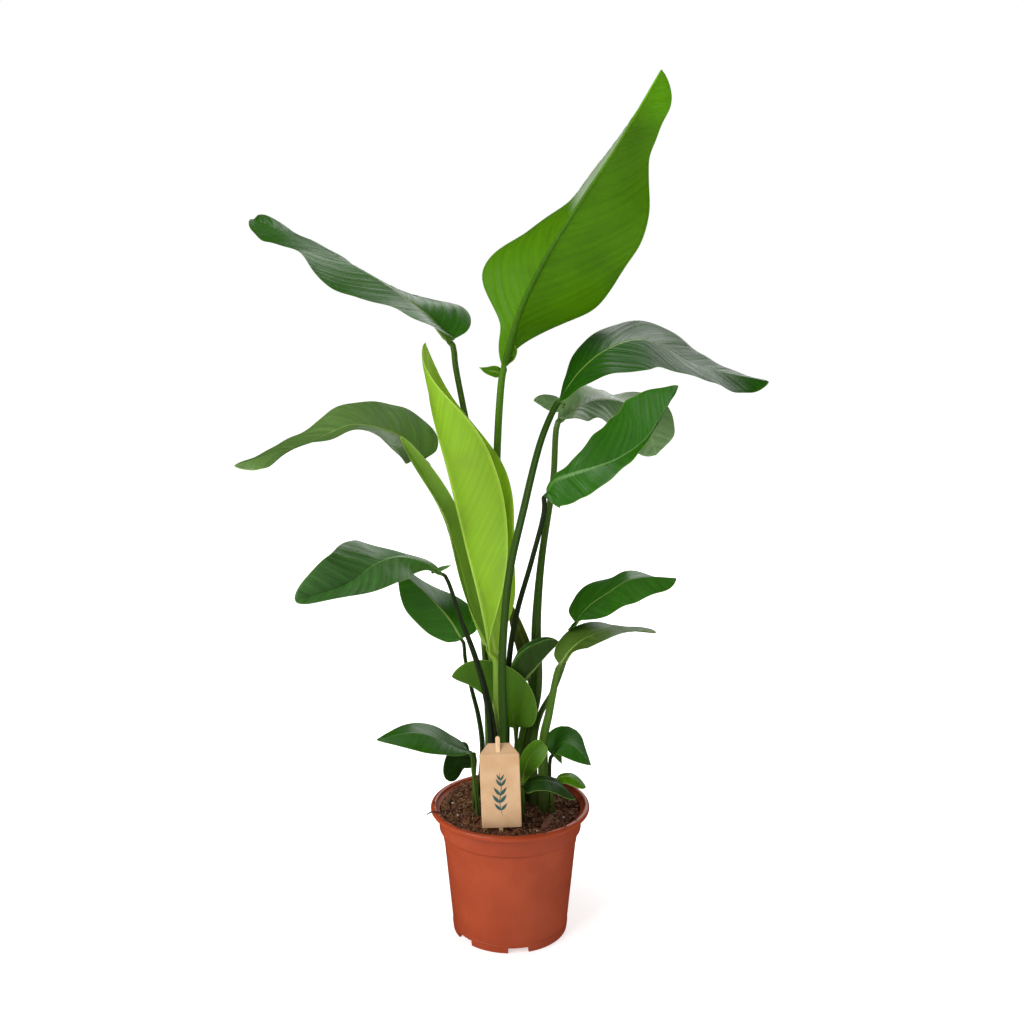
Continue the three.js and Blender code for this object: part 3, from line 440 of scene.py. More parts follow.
def peat_fibres(count):
    """Thin bent fibres that lie on the peat: each a tube along four points of a random walk."""
    made = []
    for _ in range(count):
        turn, reach = peat_seed.uniform(0, 2 * np.pi), 70 * np.sqrt(peat_seed.uniform(0.02, 1))
        heading, length = peat_seed.uniform(0, 2 * np.pi), peat_seed.uniform(4, 17)
        bends = heading + np.cumsum(peat_seed.normal(0, 0.55, 4))
        x = reach * np.cos(turn) + np.cumsum(np.cos(bends)) * length / 4
        y = reach * np.sin(turn) + np.cumsum(np.sin(bends)) * length / 4
        shrink = np.minimum(1, 71 / np.hypot(x, y))
        x, y = x * shrink, y * shrink
        z = peat_height(x, y) + peat_seed.uniform(0.6, 4.8, 4)
        thick = peat_seed.uniform(0.16, 0.55)
        made.append(tube(np.stack((x, y, z), 1), thick * np.array([0.5, 0.9, 1, 0.95, 0.8, 0.4]), 4))
    return made


def on_ball(lean, turn):
    """Points on a ball of radius 1, by their lean from its top and their turn about its axis."""
    flat = np.sin(lean)
    return np.stack((flat * np.cos(turn), flat * np.sin(turn), np.cos(lean) + 0 * turn), axis=-1)


def lump(centre, size, seed, rows=9, columns=13):
    """A rough grain: a ball whose radius swells and shrinks with a few sines of its two angles."""
    rng = np.random.default_rng(seed)
    lean, turn = np.linspace(0, np.pi, rows)[:, None], np.linspace(0, 2 * np.pi, columns)[None, :]
    a, b, c = rng.uniform(0, 6, 3)
    swell = 0.16 * np.sin(3 * turn + a) + 0.14 * np.sin(2 * turn + 4 * lean + b)
    radius = (1 + swell * np.sin(lean)) * (1 + 0.1 * np.sin(5 * lean + c))
    ball = on_ball(lean, turn) * radius[..., None]
    ball[:, -1] = ball[:, 0]
    ball[0], ball[-1] = ball[0, 0], ball[-1, 0]
    return surface(np.asarray(centre) + ball * np.asarray(size), columns)


def loose_crumbs(count, inside):
    """Crumbs that lie on top of the peat, each its own small rough grain, from the radius inside on."""
    made = []
    for k in range(count):
        turn, reach = peat_seed.uniform(0, 2 * np.pi), 72 * np.sqrt(peat_seed.uniform((inside / 72) ** 2, 1))
        x, y = reach * np.cos(turn), reach * np.sin(turn)
        size = peat_seed.uniform(0.7, 2.3) * peat_seed.uniform(0.6, 1.25, 3)
        made.append(lump((x, y, peat_height(x, y) + peat_seed.uniform(0.2, 1.8)), size, k, 6, 8))
    return made


def lip_crumbs(count):
    """A few crumbs that were spilled on the lip, most of them at the front left."""
    made = []
    for k in range(count):
        turn = peat_seed.normal(3.9, 0.9)
        reach = peat_seed.uniform(79.6, 82.4)
        size = peat_seed.uniform(0.6, 1.4) * peat_seed.uniform(0.7, 1.2, 3)
        made.append(lump((reach * np.cos(turn), reach * np.sin(turn), POT_HEIGHT + 0.1), size, 900 + k, 6, 8))
    return made


def peat_finish(name, dark, light, pale, scale, rough=0.95):
    """Peat colours: dark and light clumps, pale grains, and more gold towards the plant's left."""
    f = Finish(name)
    place = f.place()
    clump = f.noise(place, scale, 5.0, 0.65)
    grain = f.noise(place, scale * 7, 4.0, 0.7)
    colour = f.mix(clump.ramp(0.35, 0.68), tint(*dark), tint(*light))
    colour = f.mix(grain.ramp(0.6, 0.78) * 0.55, colour, tint(*pale))
    west = f.node("ShaderNodeSeparateXYZ", None, {0: place}, out="X").ramp(0.01, -0.06)
    colour = f.mix(west * f.noise(place, 60.0, 3.0).ramp(0.42, 0.62) * 0.5, colour, tint(158, 112, 66))
    dull = grain.ramp(0.2, 0.8, rough, rough - 0.2)
    return f.done(f.skin(colour, dull, f.bump(grain + clump, 0.0012, 0.9)))


piece("peat", [peat_surface()], peat_finish("peat", (78, 28, 15), (146, 84, 50), (192, 142, 96), 130.0),
      "soil", sharp=80.0)
piece("peat_crumbs", loose_crumbs(760, 0) + loose_crumbs(420, 66) + lip_crumbs(46),
      peat_finish("peat_crumb", (76, 38, 22), (134, 84, 52), (180, 132, 90), 300.0))
fibres = peat_fibres(820)
fibre_brown = peat_finish("fibre_brown", (92, 50, 31), (142, 90, 58), (166, 120, 82), 260.0, 0.85)
fibre_pale = peat_finish("fibre_pale", (168, 128, 88), (204, 168, 126), (216, 186, 148), 260.0, 0.85)
piece("root_fibres", fibres[:520], fibre_brown)
piece("straw_fibres", fibres[520:], fibre_pale)


def perlite():
    """White grains, a few of them in plain view at the front."""
    spots = [(-50, -47), (-38, -56), (-55, -26), (-14, -70), (28, -60), (44, -40), (60, 8), (-62, 6),
             (-30, 52), (12, 62), (38, 44), (-52, 34), (56, -28), (20, -48)]
    made = []
    for k, (x, y) in enumerate(spots):
        size = 0.9 + 0.8 * ((k * 0.37) % 1)
        seat = (x, y, peat_height(x, y) + 0.8 + 0.5 * size)
        made.append(lump(seat, (size, size * 0.9, size * 0.8), 40 + k))
    return made


piece("perlite", perlite(),
      peat_finish("perlite", (214, 208, 198), (240, 238, 232), (250, 250, 248), 500.0, 0.8))


def peat_top(x, y, above):
    """A point at the given height over the peat."""
    return (x, y, float(peat_height(np.float64(x), np.float64(y))) + above)


bark = [
    tube([peat_top(34, -58, 1.6), peat_top(37, -48, 3.2), peat_top(42, -36, 3.4), peat_top(44, -28, 2.0)],
         [2.2, 3.6, 4.2, 3.9, 4.3, 3.6, 3.0, 1.6], 9, 0.5),
    tube([peat_top(28, -40, 1.0), peat_top(34, -38, 2.4), peat_top(41, -40, 1.6)],
         [1.4, 2.3, 2.6, 1.8, 1.2], 8, 0.55),
    lump(peat_top(6, -66, 2.0), (3.4, 2.6, 2.2), 71),
]
piece("bark", bark, peat_finish("bark", (92, 48, 30), (138, 78, 50), (160, 104, 74), 320.0, 0.8))
twigs = [
    tube([(-88, -27, 139.0), (-80, -26, 142.4), (-68, -29, 139), peat_top(-54, -36, 2)],
         [0.5, 0.9, 1.0, 0.9, 1.0, 0.8, 0.6], 7),
    tube([peat_top(-66, -18, 2), peat_top(-52, -12, 4.5), peat_top(-40, -16, 2)],
         [0.4, 0.8, 0.9, 0.8, 0.6, 0.3], 6),
    tube([peat_top(52, -44, 1.5), peat_top(60, -30, 4.0), peat_top(64, -14, 1.5)],
         [0.4, 0.7, 0.9, 0.8, 0.7, 0.4], 6),
    tube([peat_top(-46, 8, 2), (-44, 2, 149), (-42, -4, 156)], [0.5, 0.6, 0.55, 0.5, 0.4, 0.3], 6),
]
piece("twigs", twigs, peat_finish("twig", (50, 28, 20), (92, 52, 36), (120, 82, 58), 400.0, 0.8))

# The tag. A blank kraft card with a small printed sprig, folded back at the top and hung on the
# flat stick that comes through a slot in its fold. The stick runs down behind it into the peat.
TAG_WIDTH = 40.5
TAG_DROP = 79.0
TAG_FLAP = 11.5
TAG_FLAP_TOP = 22.5
TAG_FLAP_ANGLE = 35.0
TAG_THICKNESS = 0.8
TAG_FOLD = np.array([-11.0, -64.0, 221.0])
TAG_TILT = -2.0
STICK_MIDDLE = (-1.0, 2.1)


def hang(points):
    """Moves points from the card's own frame, whose origin is the middle of the fold, to the plant."""
    c, s = np.cos(np.radians(TAG_TILT)), np.sin(np.radians(TAG_TILT))
    return np.asarray(points) @ np.array([[c, 0, -s], [0, 1, 0], [s, 0, c]]) + TAG_FOLD


def shut_and_hung(loop):
    """A stack of closed rings, each end drawn together in its middle, moved to its place."""
    shut = [loop[k].mean(axis=0, keepdims=True).repeat(loop.shape[1], 0)[None] for k in (0, -1)]
    return surface(hang(np.concatenate((shut[0], loop, shut[1]))), loop.shape[1])


def card_surface():
    """The card: rows run from the foot up to the fold and over it, columns run across, and the back
    is the same sheet a thickness further. The card bows by a tenth of its thickness.
    """
    rise = np.concatenate((np.linspace(-TAG_DROP, -1.2, 60), [-0.6, -0.25, 0.0]))
    over = np.concatenate(([0.3, 0.8], np.linspace(1.4, TAG_FLAP, 14)))
    lean = np.radians(TAG_FLAP_ANGLE)
    z = np.append(rise, over * np.cos(lean))
    y = np.append(0.0 * rise, over * np.sin(lean))
    half = np.append(np.full(len(rise), TAG_WIDTH / 2),
                     TAG_WIDTH / 2 + (TAG_FLAP_TOP - TAG_WIDTH) / 2 * over / TAG_FLAP)
    edge = np.concatenate(([-1.0, -0.992], np.linspace(-0.97, 0.97, 31), [0.992, 1.0]))
    round_edge = 0.28 * np.clip((np.abs(edge) - 0.97) / 0.03, 0, 1) ** 2
    slope = np.append(np.zeros(len(rise) - 2), np.linspace(0.3, 1, 2))
    slope = np.append(slope, np.ones(len(over))) * lean
    x = half[:, None] * edge
    bow = 0.12 * (edge ** 2)[None, :] * np.clip(-z / TAG_DROP, 0, 1)[:, None]
    sheets = []
    for depth in (0.0, TAG_THICKNESS):
        shift = depth + np.where(depth == 0, round_edge, -round_edge)
        back_y = y[:, None] + bow + shift * np.cos(slope)[:, None]
        back_z = z[:, None] - shift * np.sin(slope)[:, None] + 0 * x
        sheets.append(np.stack((x, back_y, back_z), axis=-1))
    front, back = sheets
    loop = np.concatenate((front, back[:, ::-1]), axis=1)
    loop = np.concatenate((loop, loop[:, :1]), axis=1)
    return shut_and_hung(loop)


def kraft_card():
    """Unbleached card: warm light brown, short fibres across it and a faint darker fleck."""
    f = Finish("kraft_card")
    place = f.place()
    lay = f.node("ShaderNodeMapping", None,
                 {"Vector": place, "Scale": (1.0, 1.0, 5.0), "Rotation": (0, 0.5, 0)})
    fibre = f.noise(lay, 700.0, 4.0, 0.7)
    fleck = f.noise(place, 1500.0, 2.0)
    cloud = f.noise(place, 50.0, 3.0)
    colour = f.mix(cloud.ramp(0.3, 0.7), tint(200, 160, 118), tint(212, 175, 136))
    colour = f.mix(fibre.ramp(0.55, 0.75) * 0.5, colour, tint(184, 136, 90))
    colour = f.mix(fleck.ramp(0.68, 0.76) * 0.6, colour, tint(160, 114, 76))
    return f.done(f.skin(colour, 0.82, f.bump(fibre + fleck * 0.5, 0.00015, 0.6)))


piece("tag_card", [card_surface()], kraft_card(), "tag", sharp=30.0)


def printed_sprig():
    """A plain sprig: a bent stem and five pairs of pointed leaves, as flat films on the card's face.

    A leaf is a grid whose half-width is the sine of the way along it.
    """
    made = []
    stem = np.array([[1.0, -66.0], [-1.2, -52.0], [0.8, -36.0], [-0.6, -20.0]])
    line, _, _ = route(stem, 24)
    strokes = [(line, 0.32 * np.sin(np.linspace(0.25, 2.9, 24)) + 0.12)]
    for k, share in enumerate((0.16, 0.34, 0.52, 0.7, 0.86)):
        for side in (-1, 1):
            foot = line[int(share * 23)]
            lean = np.radians(48 - 3 * k)
            reach = (9.0, 10.5, 10.0, 8.5, 6.5)[k]
            along = np.linspace(0, 1, 14)[:, None]
            out = foot + along * reach * np.array([side * np.sin(lean), np.cos(lean)])
            out = out + np.array([0.0, 1.0]) * (1.6 * along * along)
            strokes.append((out, 1.7 * np.sin(np.pi * np.linspace(0, 1, 14) ** 0.8) * reach / 10))
    for middle, half in strokes:
        ahead = np.gradient(middle, axis=0)
        side = np.stack((-ahead[:, 1], ahead[:, 0]), axis=1) / np.linalg.norm(ahead, axis=1)[:, None]
        rows = np.stack([middle + side * (half * q)[:, None] for q in (-1.0, -0.4, 0.4, 1.0)], axis=1)
        bow = 0.12 * (rows[..., 0] / (TAG_WIDTH / 2)) ** 2 * np.clip(-rows[..., 1] / TAG_DROP, 0, 1)
        front = np.stack((rows[..., 0], bow - 0.06, rows[..., 1]), axis=-1)
        back = front + np.array([0, 0.1, 0])
        loop = np.concatenate((front, back[:, ::-1], front[:, :1]), axis=1)
        made.append(shut_and_hung(loop))
    return made


def ink():
    """Matt dark green ink, a little thin in places."""
    f = Finish("ink")
    worn = f.noise(f.place(), 1200.0, 3.0, 0.6)
    return f.done(f.skin(f.mix(worn.ramp(0.55, 0.8) * 0.6, tint(44, 84, 80), tint(120, 126, 104)), 0.8))


piece("tag_sprig", printed_sprig(), ink())


def stick_surface():
    """The stick: a rounded rectangle carried upwards, that narrows to a half round at the top."""
    z = np.concatenate((np.linspace(-151.0, 16.0, 40), 16.2 + 2.3 * np.sin(np.linspace(0.05, np.pi / 2, 9))))
    half = 2.3 * np.sqrt(np.clip(1 - (np.clip(z - 16.2, 0, 2.3) / 2.3) ** 2, 0.0, 1))
    half = np.where(z > 18.45, 0.4, half)
    turn = np.linspace(0, 2 * np.pi, 25)
    across = np.sign(np.cos(turn)) * np.abs(np.cos(turn)) ** 0.45
    deep = np.sign(np.sin(turn)) * np.abs(np.sin(turn)) ** 0.45
    x = STICK_MIDDLE[0] + half[:, None] * across
    y = STICK_MIDDLE[1] + deep * (np.clip(half, 0.5, 1.0))[:, None]
    loop = np.stack((x, y, z[:, None] + 0 * x), axis=-1)
    loop[:, -1] = loop[:, 0]
    return shut_and_hung(loop)


def bare_wood():
    """Pale birch: long fine grain, a few darker streaks."""
    f = Finish("bare_wood")
    place = f.place()
    stretch = f.node("ShaderNodeMapping", None, {"Vector": place, "Scale": (1.0, 1.0, 0.06)})
    grain = f.noise(stretch, 1400.0, 4.0, 0.6)
    streak = f.noise(stretch, 380.0, 3.0)
    colour = f.mix(grain.ramp(0.35, 0.65), tint(236, 202, 160), tint(214, 172, 126))
    colour = f.mix(streak.ramp(0.6, 0.75) * 0.5, colour, tint(182, 136, 92))
    return f.done(f.skin(colour, 0.7, f.bump(grain, 0.0001, 0.6)))


piece("stick", [stick_surface()], bare_wood(), "tag_stick", sharp=40.0)

# The tall leaves. A bird of paradise leaf is one growth: a sheathing foot, a round green stalk with
# a channel along its upper side, and a leathery blade on both sides of the midrib that the stalk
# turns into. The stalks come straight up out of the peat, crowded together.
STALK_CHANNEL = 0.45
RING_GAP = 2.2
VEIN_SLANT = 0.7
VEIN_BEND = 0.004


def through(stations, t):
    """Values on a Catmull-Rom curve through evenly spaced stations, at the places t from 0 to 1."""
    p = np.asarray(stations, float)
    flat = p.ndim == 1
    p = p[:, None] if flat else p
    t = np.asarray(t, float)
    if len(p) == 1:
        made = np.repeat(p, len(t), axis=0)
        return made[:, 0] if flat else made
    span = len(p) - 1
    p = np.vstack((2 * p[0] - p[1], p, 2 * p[-1] - p[-2]))
    i = np.minimum((t * span).astype(int), span - 1)
    f = (t * span - i)[:, None]
    before, here, after, later = p[i], p[i + 1], p[i + 2], p[i + 3]
    made = 0.5 * (2 * here + (after - before) * f + (2 * before - 5 * here + 4 * after - later) * f ** 2
                  + (3 * here - before - 3 * after + later) * f ** 3)
    return made[:, 0] if flat else made


def ease(low, high, x):
    """Runs smoothly from 0 to 1 while x goes from low to high."""
    u = np.clip((x - low) / (high - low), 0, 1)
    return u * u * (3 - 2 * u)


def blade_share(s, outline):
    """Half-width as a share of the widest place: s^a (1-s)^b, scaled to peak at 1."""
    a, b = outline
    widest = a / (a + b)
    return (s / widest) ** a * ((1 - s) / (1 - widest)) ** b


def leaf_surface(stalk, wide, deep, rib, face, width, outline, left, right, lean=(-0.5, 0, 0.3),
                 right_outline=None, left_share=1.0, right_share=1.0, curl_left=(0,), curl_right=(0,),
                 left_full=(1,), right_full=(1,), right_lean=None, waves=(), pleat=0.4):
    """A whole leaf as one closed section that is carried from the foot of its stalk to its tip.

    Up the stalk the section is an oval, pressed in along its upper side. Over the neck it opens into
    the blade's section: two halves that leave the midrib at their own rise, bend evenly by their
    curl, sweep along the leaf by their lean, and are as wide as blade_share says, times how full the
    half is at each station. The blade thins to its margin, and under the midrib it swells into a rib
    that fades towards the tip. Each wave lifts one half by a sine along the leaf that grows with the
    square of the way out. Pleats are low ridges of two sines along the side veins, which run where
    along - 0.7 d - 0.004 d d is constant, d being the way out in mm.
    """
    rib = np.asarray(rib, float)
    neck = rib[0] - 6.0 * (rib[1] - rib[0]) / np.linalg.norm(rib[1] - rib[0])
    lower = np.vstack((stalk, neck, rib[0]))
    reach = route(lower, 2)[2]
    end = 1 - 6.0 / reach
    t = np.concatenate((np.linspace(0, end, int(reach / 7)), end + (1 - end) * np.linspace(0.2, 0.9, 5)))
    stem, stem_along, _ = route(lower, t)
    length = route(rib, 2)[2]
    u = np.linspace(0, 1, int(np.clip(length / RING_GAP, 26, 130)))
    s = 0.35 * u * u + 0.65 * (1 - np.cos(np.pi * u)) / 2
    mid, mid_along, _ = route(rib, s)
    centre, along = np.vstack((stem, mid)), np.vstack((stem_along, mid_along))
    at = np.append(np.zeros(len(t)), s)
    up = through(face, at)
    up = up - along * np.einsum("ij,ij->i", up, along)[:, None]
    up /= np.linalg.norm(up, axis=1)[:, None]
    side = np.cross(along, up)
    walked = np.append((t - 1) * reach, s * length)
    blade = ease(-7.0, 7.0, walked) * (walked > -6)
    up_stalk = np.clip(np.append(t, np.ones(len(s))) / end, 0, 1)
    oval_wide, oval_deep = through(wide, up_stalk), through(deep, up_stalk)
    foot = ease(0.0, 150.0, centre[:, 2] - 100.0)

    columns = int(np.clip(width / 2.6, 9, 26))
    q = np.linspace(0, 1, columns + 1) ** 1.5
    half_q, step_q = (q[1:] + q[:-1]) / 2, np.diff(q)
    rib_half = wide[-1] * (1 - 0.78 * at ** 0.6)
    rib_deep = 1.25 * rib_half * np.sqrt(1 - 0.9 * at)
    sheets, spans = [], []
    for sign, law, share, rise, curl, full, lead in (
            (-1, outline, left_share, left, curl_left, left_full, lean),
            (1, right_outline or outline, right_share, right, curl_right, right_full, right_lean or lean)):
        grown = width * share * blade_share(at, law) * np.maximum(through(full, at), 0.05)
        span = np.hypot(wide[-1] * (1 - at) ** 2, grown * (walked >= 0))
        bend = np.radians(through(rise, at))[:, None] * ease(-3.0, 4.0, walked)[:, None]
        bend = bend + np.radians(through(curl, at))[:, None] * ease(0, 8, walked)[:, None] * (half_q - 0.5)
        out = np.append(np.zeros((len(at), 1)), np.cumsum(np.cos(bend) * step_q, axis=1), axis=1)
        lift = np.append(np.zeros((len(at), 1)), np.cumsum(np.sin(bend) * step_q, axis=1), axis=1)
        sweep = span[:, None] * (through(lead, at) * (walked >= 0))[:, None] * q ** 1.4
        for wave_side, height, crests, start in waves:
            if wave_side in (0, sign):
                swing = np.sin(2 * np.pi * (crests * at[:, None] + start) + 0.6 * q)
                steep = (height / np.maximum(span, 4) * ease(0, 20, walked))[:, None]
                lift = lift + steep * swing * q ** 2
        place = centre[:, None] + span[:, None, None] * (
            sign * out[..., None] * side[:, None] + lift[..., None] * up[:, None]
        ) + sweep[..., None] * along[:, None]
        sheets.append(place)
        spans.append(span)
    middle = np.concatenate((sheets[0][:, ::-1], sheets[1][:, 1:]), axis=1)
    signed = np.concatenate((-q[::-1], q[1:]))
    span = np.where(signed < 0, spans[0][:, None], spans[1][:, None])
    across = np.gradient(middle, axis=1)
    ahead = np.gradient(middle, axis=0)
    normal = np.cross(across, ahead)
    size = np.linalg.norm(normal, axis=2, keepdims=True)
    level = np.broadcast_to(up[:, None], normal.shape)
    opened = ease(2.0, 9.0, walked)[:, None, None]
    normal = np.where(size > 1e-6, normal / np.maximum(size, 1e-6), level) * opened + level * (1 - opened)
    normal[-1] = normal[-2]
    normal /= np.linalg.norm(normal, axis=2, keepdims=True)

    away = np.abs(signed) * span
    vein = 2 * np.pi * (walked[:, None] - VEIN_SLANT * away - VEIN_BEND * away ** 2)
    ridge = 0.6 * np.sin(vein / 11) + 0.4 * np.sin(vein / 17 + 1 + signed)
    ridge = ridge * ease(3, 14, away) * ease(0.5, 7, span - away) * ease(5, 30, walked)[:, None]
    middle = middle + normal * (pleat * ridge)[..., None]
    thin = 0.42 * np.sqrt(1 - signed ** 8)
    hollow = 0.55 * rib_half[:, None] * np.exp(-(away / (0.45 * rib_half[:, None])) ** 2)
    swell = rib_deep[:, None] * np.clip(1 - (away / (1.15 * rib_half[:, None])) ** 2, 0, 1) ** 1.1
    blade_top = middle + normal * (thin - np.minimum(hollow, 0.7) * (1 - at)[:, None])[..., None]
    blade_under = middle - normal * (thin + swell)[..., None]
    turn = signed * np.pi / 2
    press = 1 - STALK_CHANNEL * np.exp(-(np.sin(turn) / 0.42) ** 2)
    oval_x = oval_wide[:, None] * np.sin(turn)
    flat = centre[:, None] + oval_x[..., None] * side[:, None]
    raised = (oval_deep[:, None] * np.cos(turn) * press)[..., None] * up[:, None]
    sunk = (oval_deep[:, None] * np.cos(turn))[..., None] * up[:, None]
    share = blade[:, None, None]
    top = (flat + raised) * (1 - share) + blade_top * share
    under = (flat - sunk) * (1 - share) + blade_under * share
    under[:, [0, -1]] = top[:, [0, -1]]
    loop = np.concatenate((top, under[:, -2:0:-1], top[:, :1]), axis=1)
    loop[-1] = loop[-1, columns]
    foot_row = np.broadcast_to(centre[:1, None], loop[:1].shape)
    rows = np.concatenate((foot_row, loop))

    def ring(upper, lower):
        whole = np.concatenate((upper, lower[:, -2:0:-1], upper[:, :1]), axis=1)
        return np.concatenate((whole[:1], whole))

    one = np.ones_like(away)

    def both(value):
        return ring(value * one, value * one)

    values = {
        "along": both(walked[:, None]),
        "across": both(signed * span * blade[:, None] + oval_x * (1 - blade[:, None])),
        "margin": both((1 - np.abs(signed)) * span),
        "upper": ring(one, 0 * one),
        "blade": both(blade[:, None]),
        "rib": both(rib_half[:, None]),
        "tip": both(at[:, None]),
        "foot": both(foot[:, None]),
    }
    return surface(rows, rows.shape[1], **values)


def shade(colour, share, lift=0):
    """A tint made darker or lighter: each channel times share, plus lift, and 255 at most."""
    return tint(*(min(255, share * channel + lift) for channel in colour))


def leaf_skin(name, upper, under, stem, glow, rib=(142, 172, 80), rim=(160, 188, 92), rough=0.36, seed=0.0,
              light=0.25, vein=0.5, foot=(62, 68, 36), shaded_rib_under=None, gloss=0.28, turned=None):
    """Leaf tissue: fine side veins that leave the midrib and curve towards the tip, a pale midrib
    on the upper side, a thin pale margin, soft clouding, and a stalk with lengthwise lines that is
    darker and browner at its foot, a browner base under painted shade. A leaf whose margin has turned
    over shows it underneath, as a band of the colour turned in a painted silvery sheen, and has a
    lighter tip of painted light. The midrib's underside may take a darker colour of painted shade.

    A side vein runs where along - 0.7 d - 0.004 d d is constant, d being the way out in mm.
    """
    f = Finish(name)
    place = f.place()
    along, across, side = f.read("along"), f.read("across"), f.read("upper")
    blade, rib_half, tip = f.read("blade"), f.read("rib"), f.read("tip")
    out = abs(across)
    line = along - out * VEIN_SLANT - out * out * VEIN_BEND
    fine = f.noise(f.vector(line * 1.1, out * 0.015, side * 7.0 + seed), 1.0, 2.0, 0.5)
    broad = f.noise(f.vector(line * 0.16, out * 0.006, side * 3.0 + seed), 1.0, 3.0, 0.55)
    cloud = f.noise(place, 26.0, 3.0, 0.55)
    ridge = (line * (2 * np.pi / 8.0) + broad * 14.0).wave().ramp(0.8, 1.0)
    mottle = f.noise(place, 420.0, 3.0, 0.6)
    skin = f.mix(broad.ramp(0.3, 0.7), shade(upper, 1 - 0.3 * vein), tint(*upper))
    skin = f.mix(fine.ramp(0.45, 0.75) * (0.2 * vein), skin, shade(upper, 1.3, 12))
    skin = f.mix(ridge * (0.16 * vein), skin, shade(upper, 1.25, 14))
    back = f.mix(broad.ramp(0.3, 0.7), shade(under, 0.9), tint(*under))
    back = f.mix(fine.ramp(0.4, 0.7) * (0.3 * vein), back, shade(under, 0.8))
    colour = f.mix(side, back, skin)
    colour = f.mix(cloud.ramp(0.4, 0.75) * 0.4, colour, shade(upper, 0.7))
    # Where the margin has turned over: a paler band in the colour turned, a painted silvery sheen on the
    # turned-over margin.
    if turned:
        sheen_strip = across.ramp(0.5, 3.0) * tip.ramp(0.5, 0.58) * tip.ramp(0.85, 0.78)
        colour = f.mix(sheen_strip * (1.0 - side) * (0.5 + 0.5 * fine), colour, tint(*turned))
        # The tip made lighter: painted light.
        colour = f.mix(tip.ramp(0.8, 0.93) * 0.6, colour, shade(upper, 1.4))
    on_rib = (out / rib_half).ramp(0.95, 0.45) * blade
    fading = on_rib * tip.ramp(0.98, 0.3)
    colour = f.mix(fading * side * 0.8, colour, tint(*rib))
    # Under the midrib the rib colour, unless a leaf gives a darker one there, which is painted shade on the
    # raised rib.
    colour = f.mix(fading * (1.0 - side) * 0.6, colour, tint(*(shaded_rib_under or rib)))
    colour = f.mix(f.read("margin").ramp(0.9, 0.3) * blade * 0.6, colour, tint(*rim))
    stalk_line = f.noise(f.vector(across * 0.35, along * 0.006, seed), 1.0, 2.0, 0.5)
    stalk = f.mix(stalk_line.ramp(0.3, 0.75), shade(stem, 0.86), tint(*stem))
    # Darker and browner towards the foot: a browner base, under painted shade among the crowded stalks near
    # the peat.
    stalk = f.mix(f.read("foot").ramp(0.6, 0.0) * 0.9, stalk, tint(*foot))
    colour = f.mix(blade.ramp(0.0, 0.9), stalk, colour)
    cast = broad * 0.5 + fine * 0.12 + cloud * 0.38
    shine = cast.ramp(0.35, 0.65, rough - 0.1, rough + 0.1) + (1.0 - side) * 0.1
    height = (fine * (0.14 * vein) + ridge * (0.3 * vein) + broad * (1.3 * vein)) * blade + mottle * 0.02
    normal = f.bump(height, 0.0014, 0.6)
    solid = f.skin(colour, shine, normal, Specular_IOR_Level=gloss)
    through_light = f.node("ShaderNodeBsdfTranslucent", None, {"Color": tint(*glow), "Normal": normal})
    veil = broad.ramp(0.3, 0.7, 0.76, 1.0) * fine.ramp(0.45, 0.75, 1.0, 0.82)
    share = veil * blade * (1.0 - on_rib * 0.8) * light
    return f.done(f.node("ShaderNodeMixShader", None, {0: share, 1: solid, 2: through_light}))


def leaf(finish, slot, name, ears=(), **form):
    """A leaf of the plant: its shape from form and its skin from finish, over the node of its name.

    Its ears are small ruffles at the foot of the blade, each shaped like a little leaf.
    """
    grown = [leaf_surface(**shape) for shape in (form, *ears)]
    piece(name + "_grown", grown, leaf_skin(name + "_skin", **finish), name, sharp=75.0)


DEEP_GREEN = dict(upper=(56, 116, 22), under=(80, 122, 36), stem=(78, 112, 30), glow=(110, 160, 30),
                  gloss=0.3)
BRIGHT_GREEN = dict(upper=(84, 138, 8), under=(94, 148, 8), stem=(84, 128, 24), glow=(150, 200, 16))

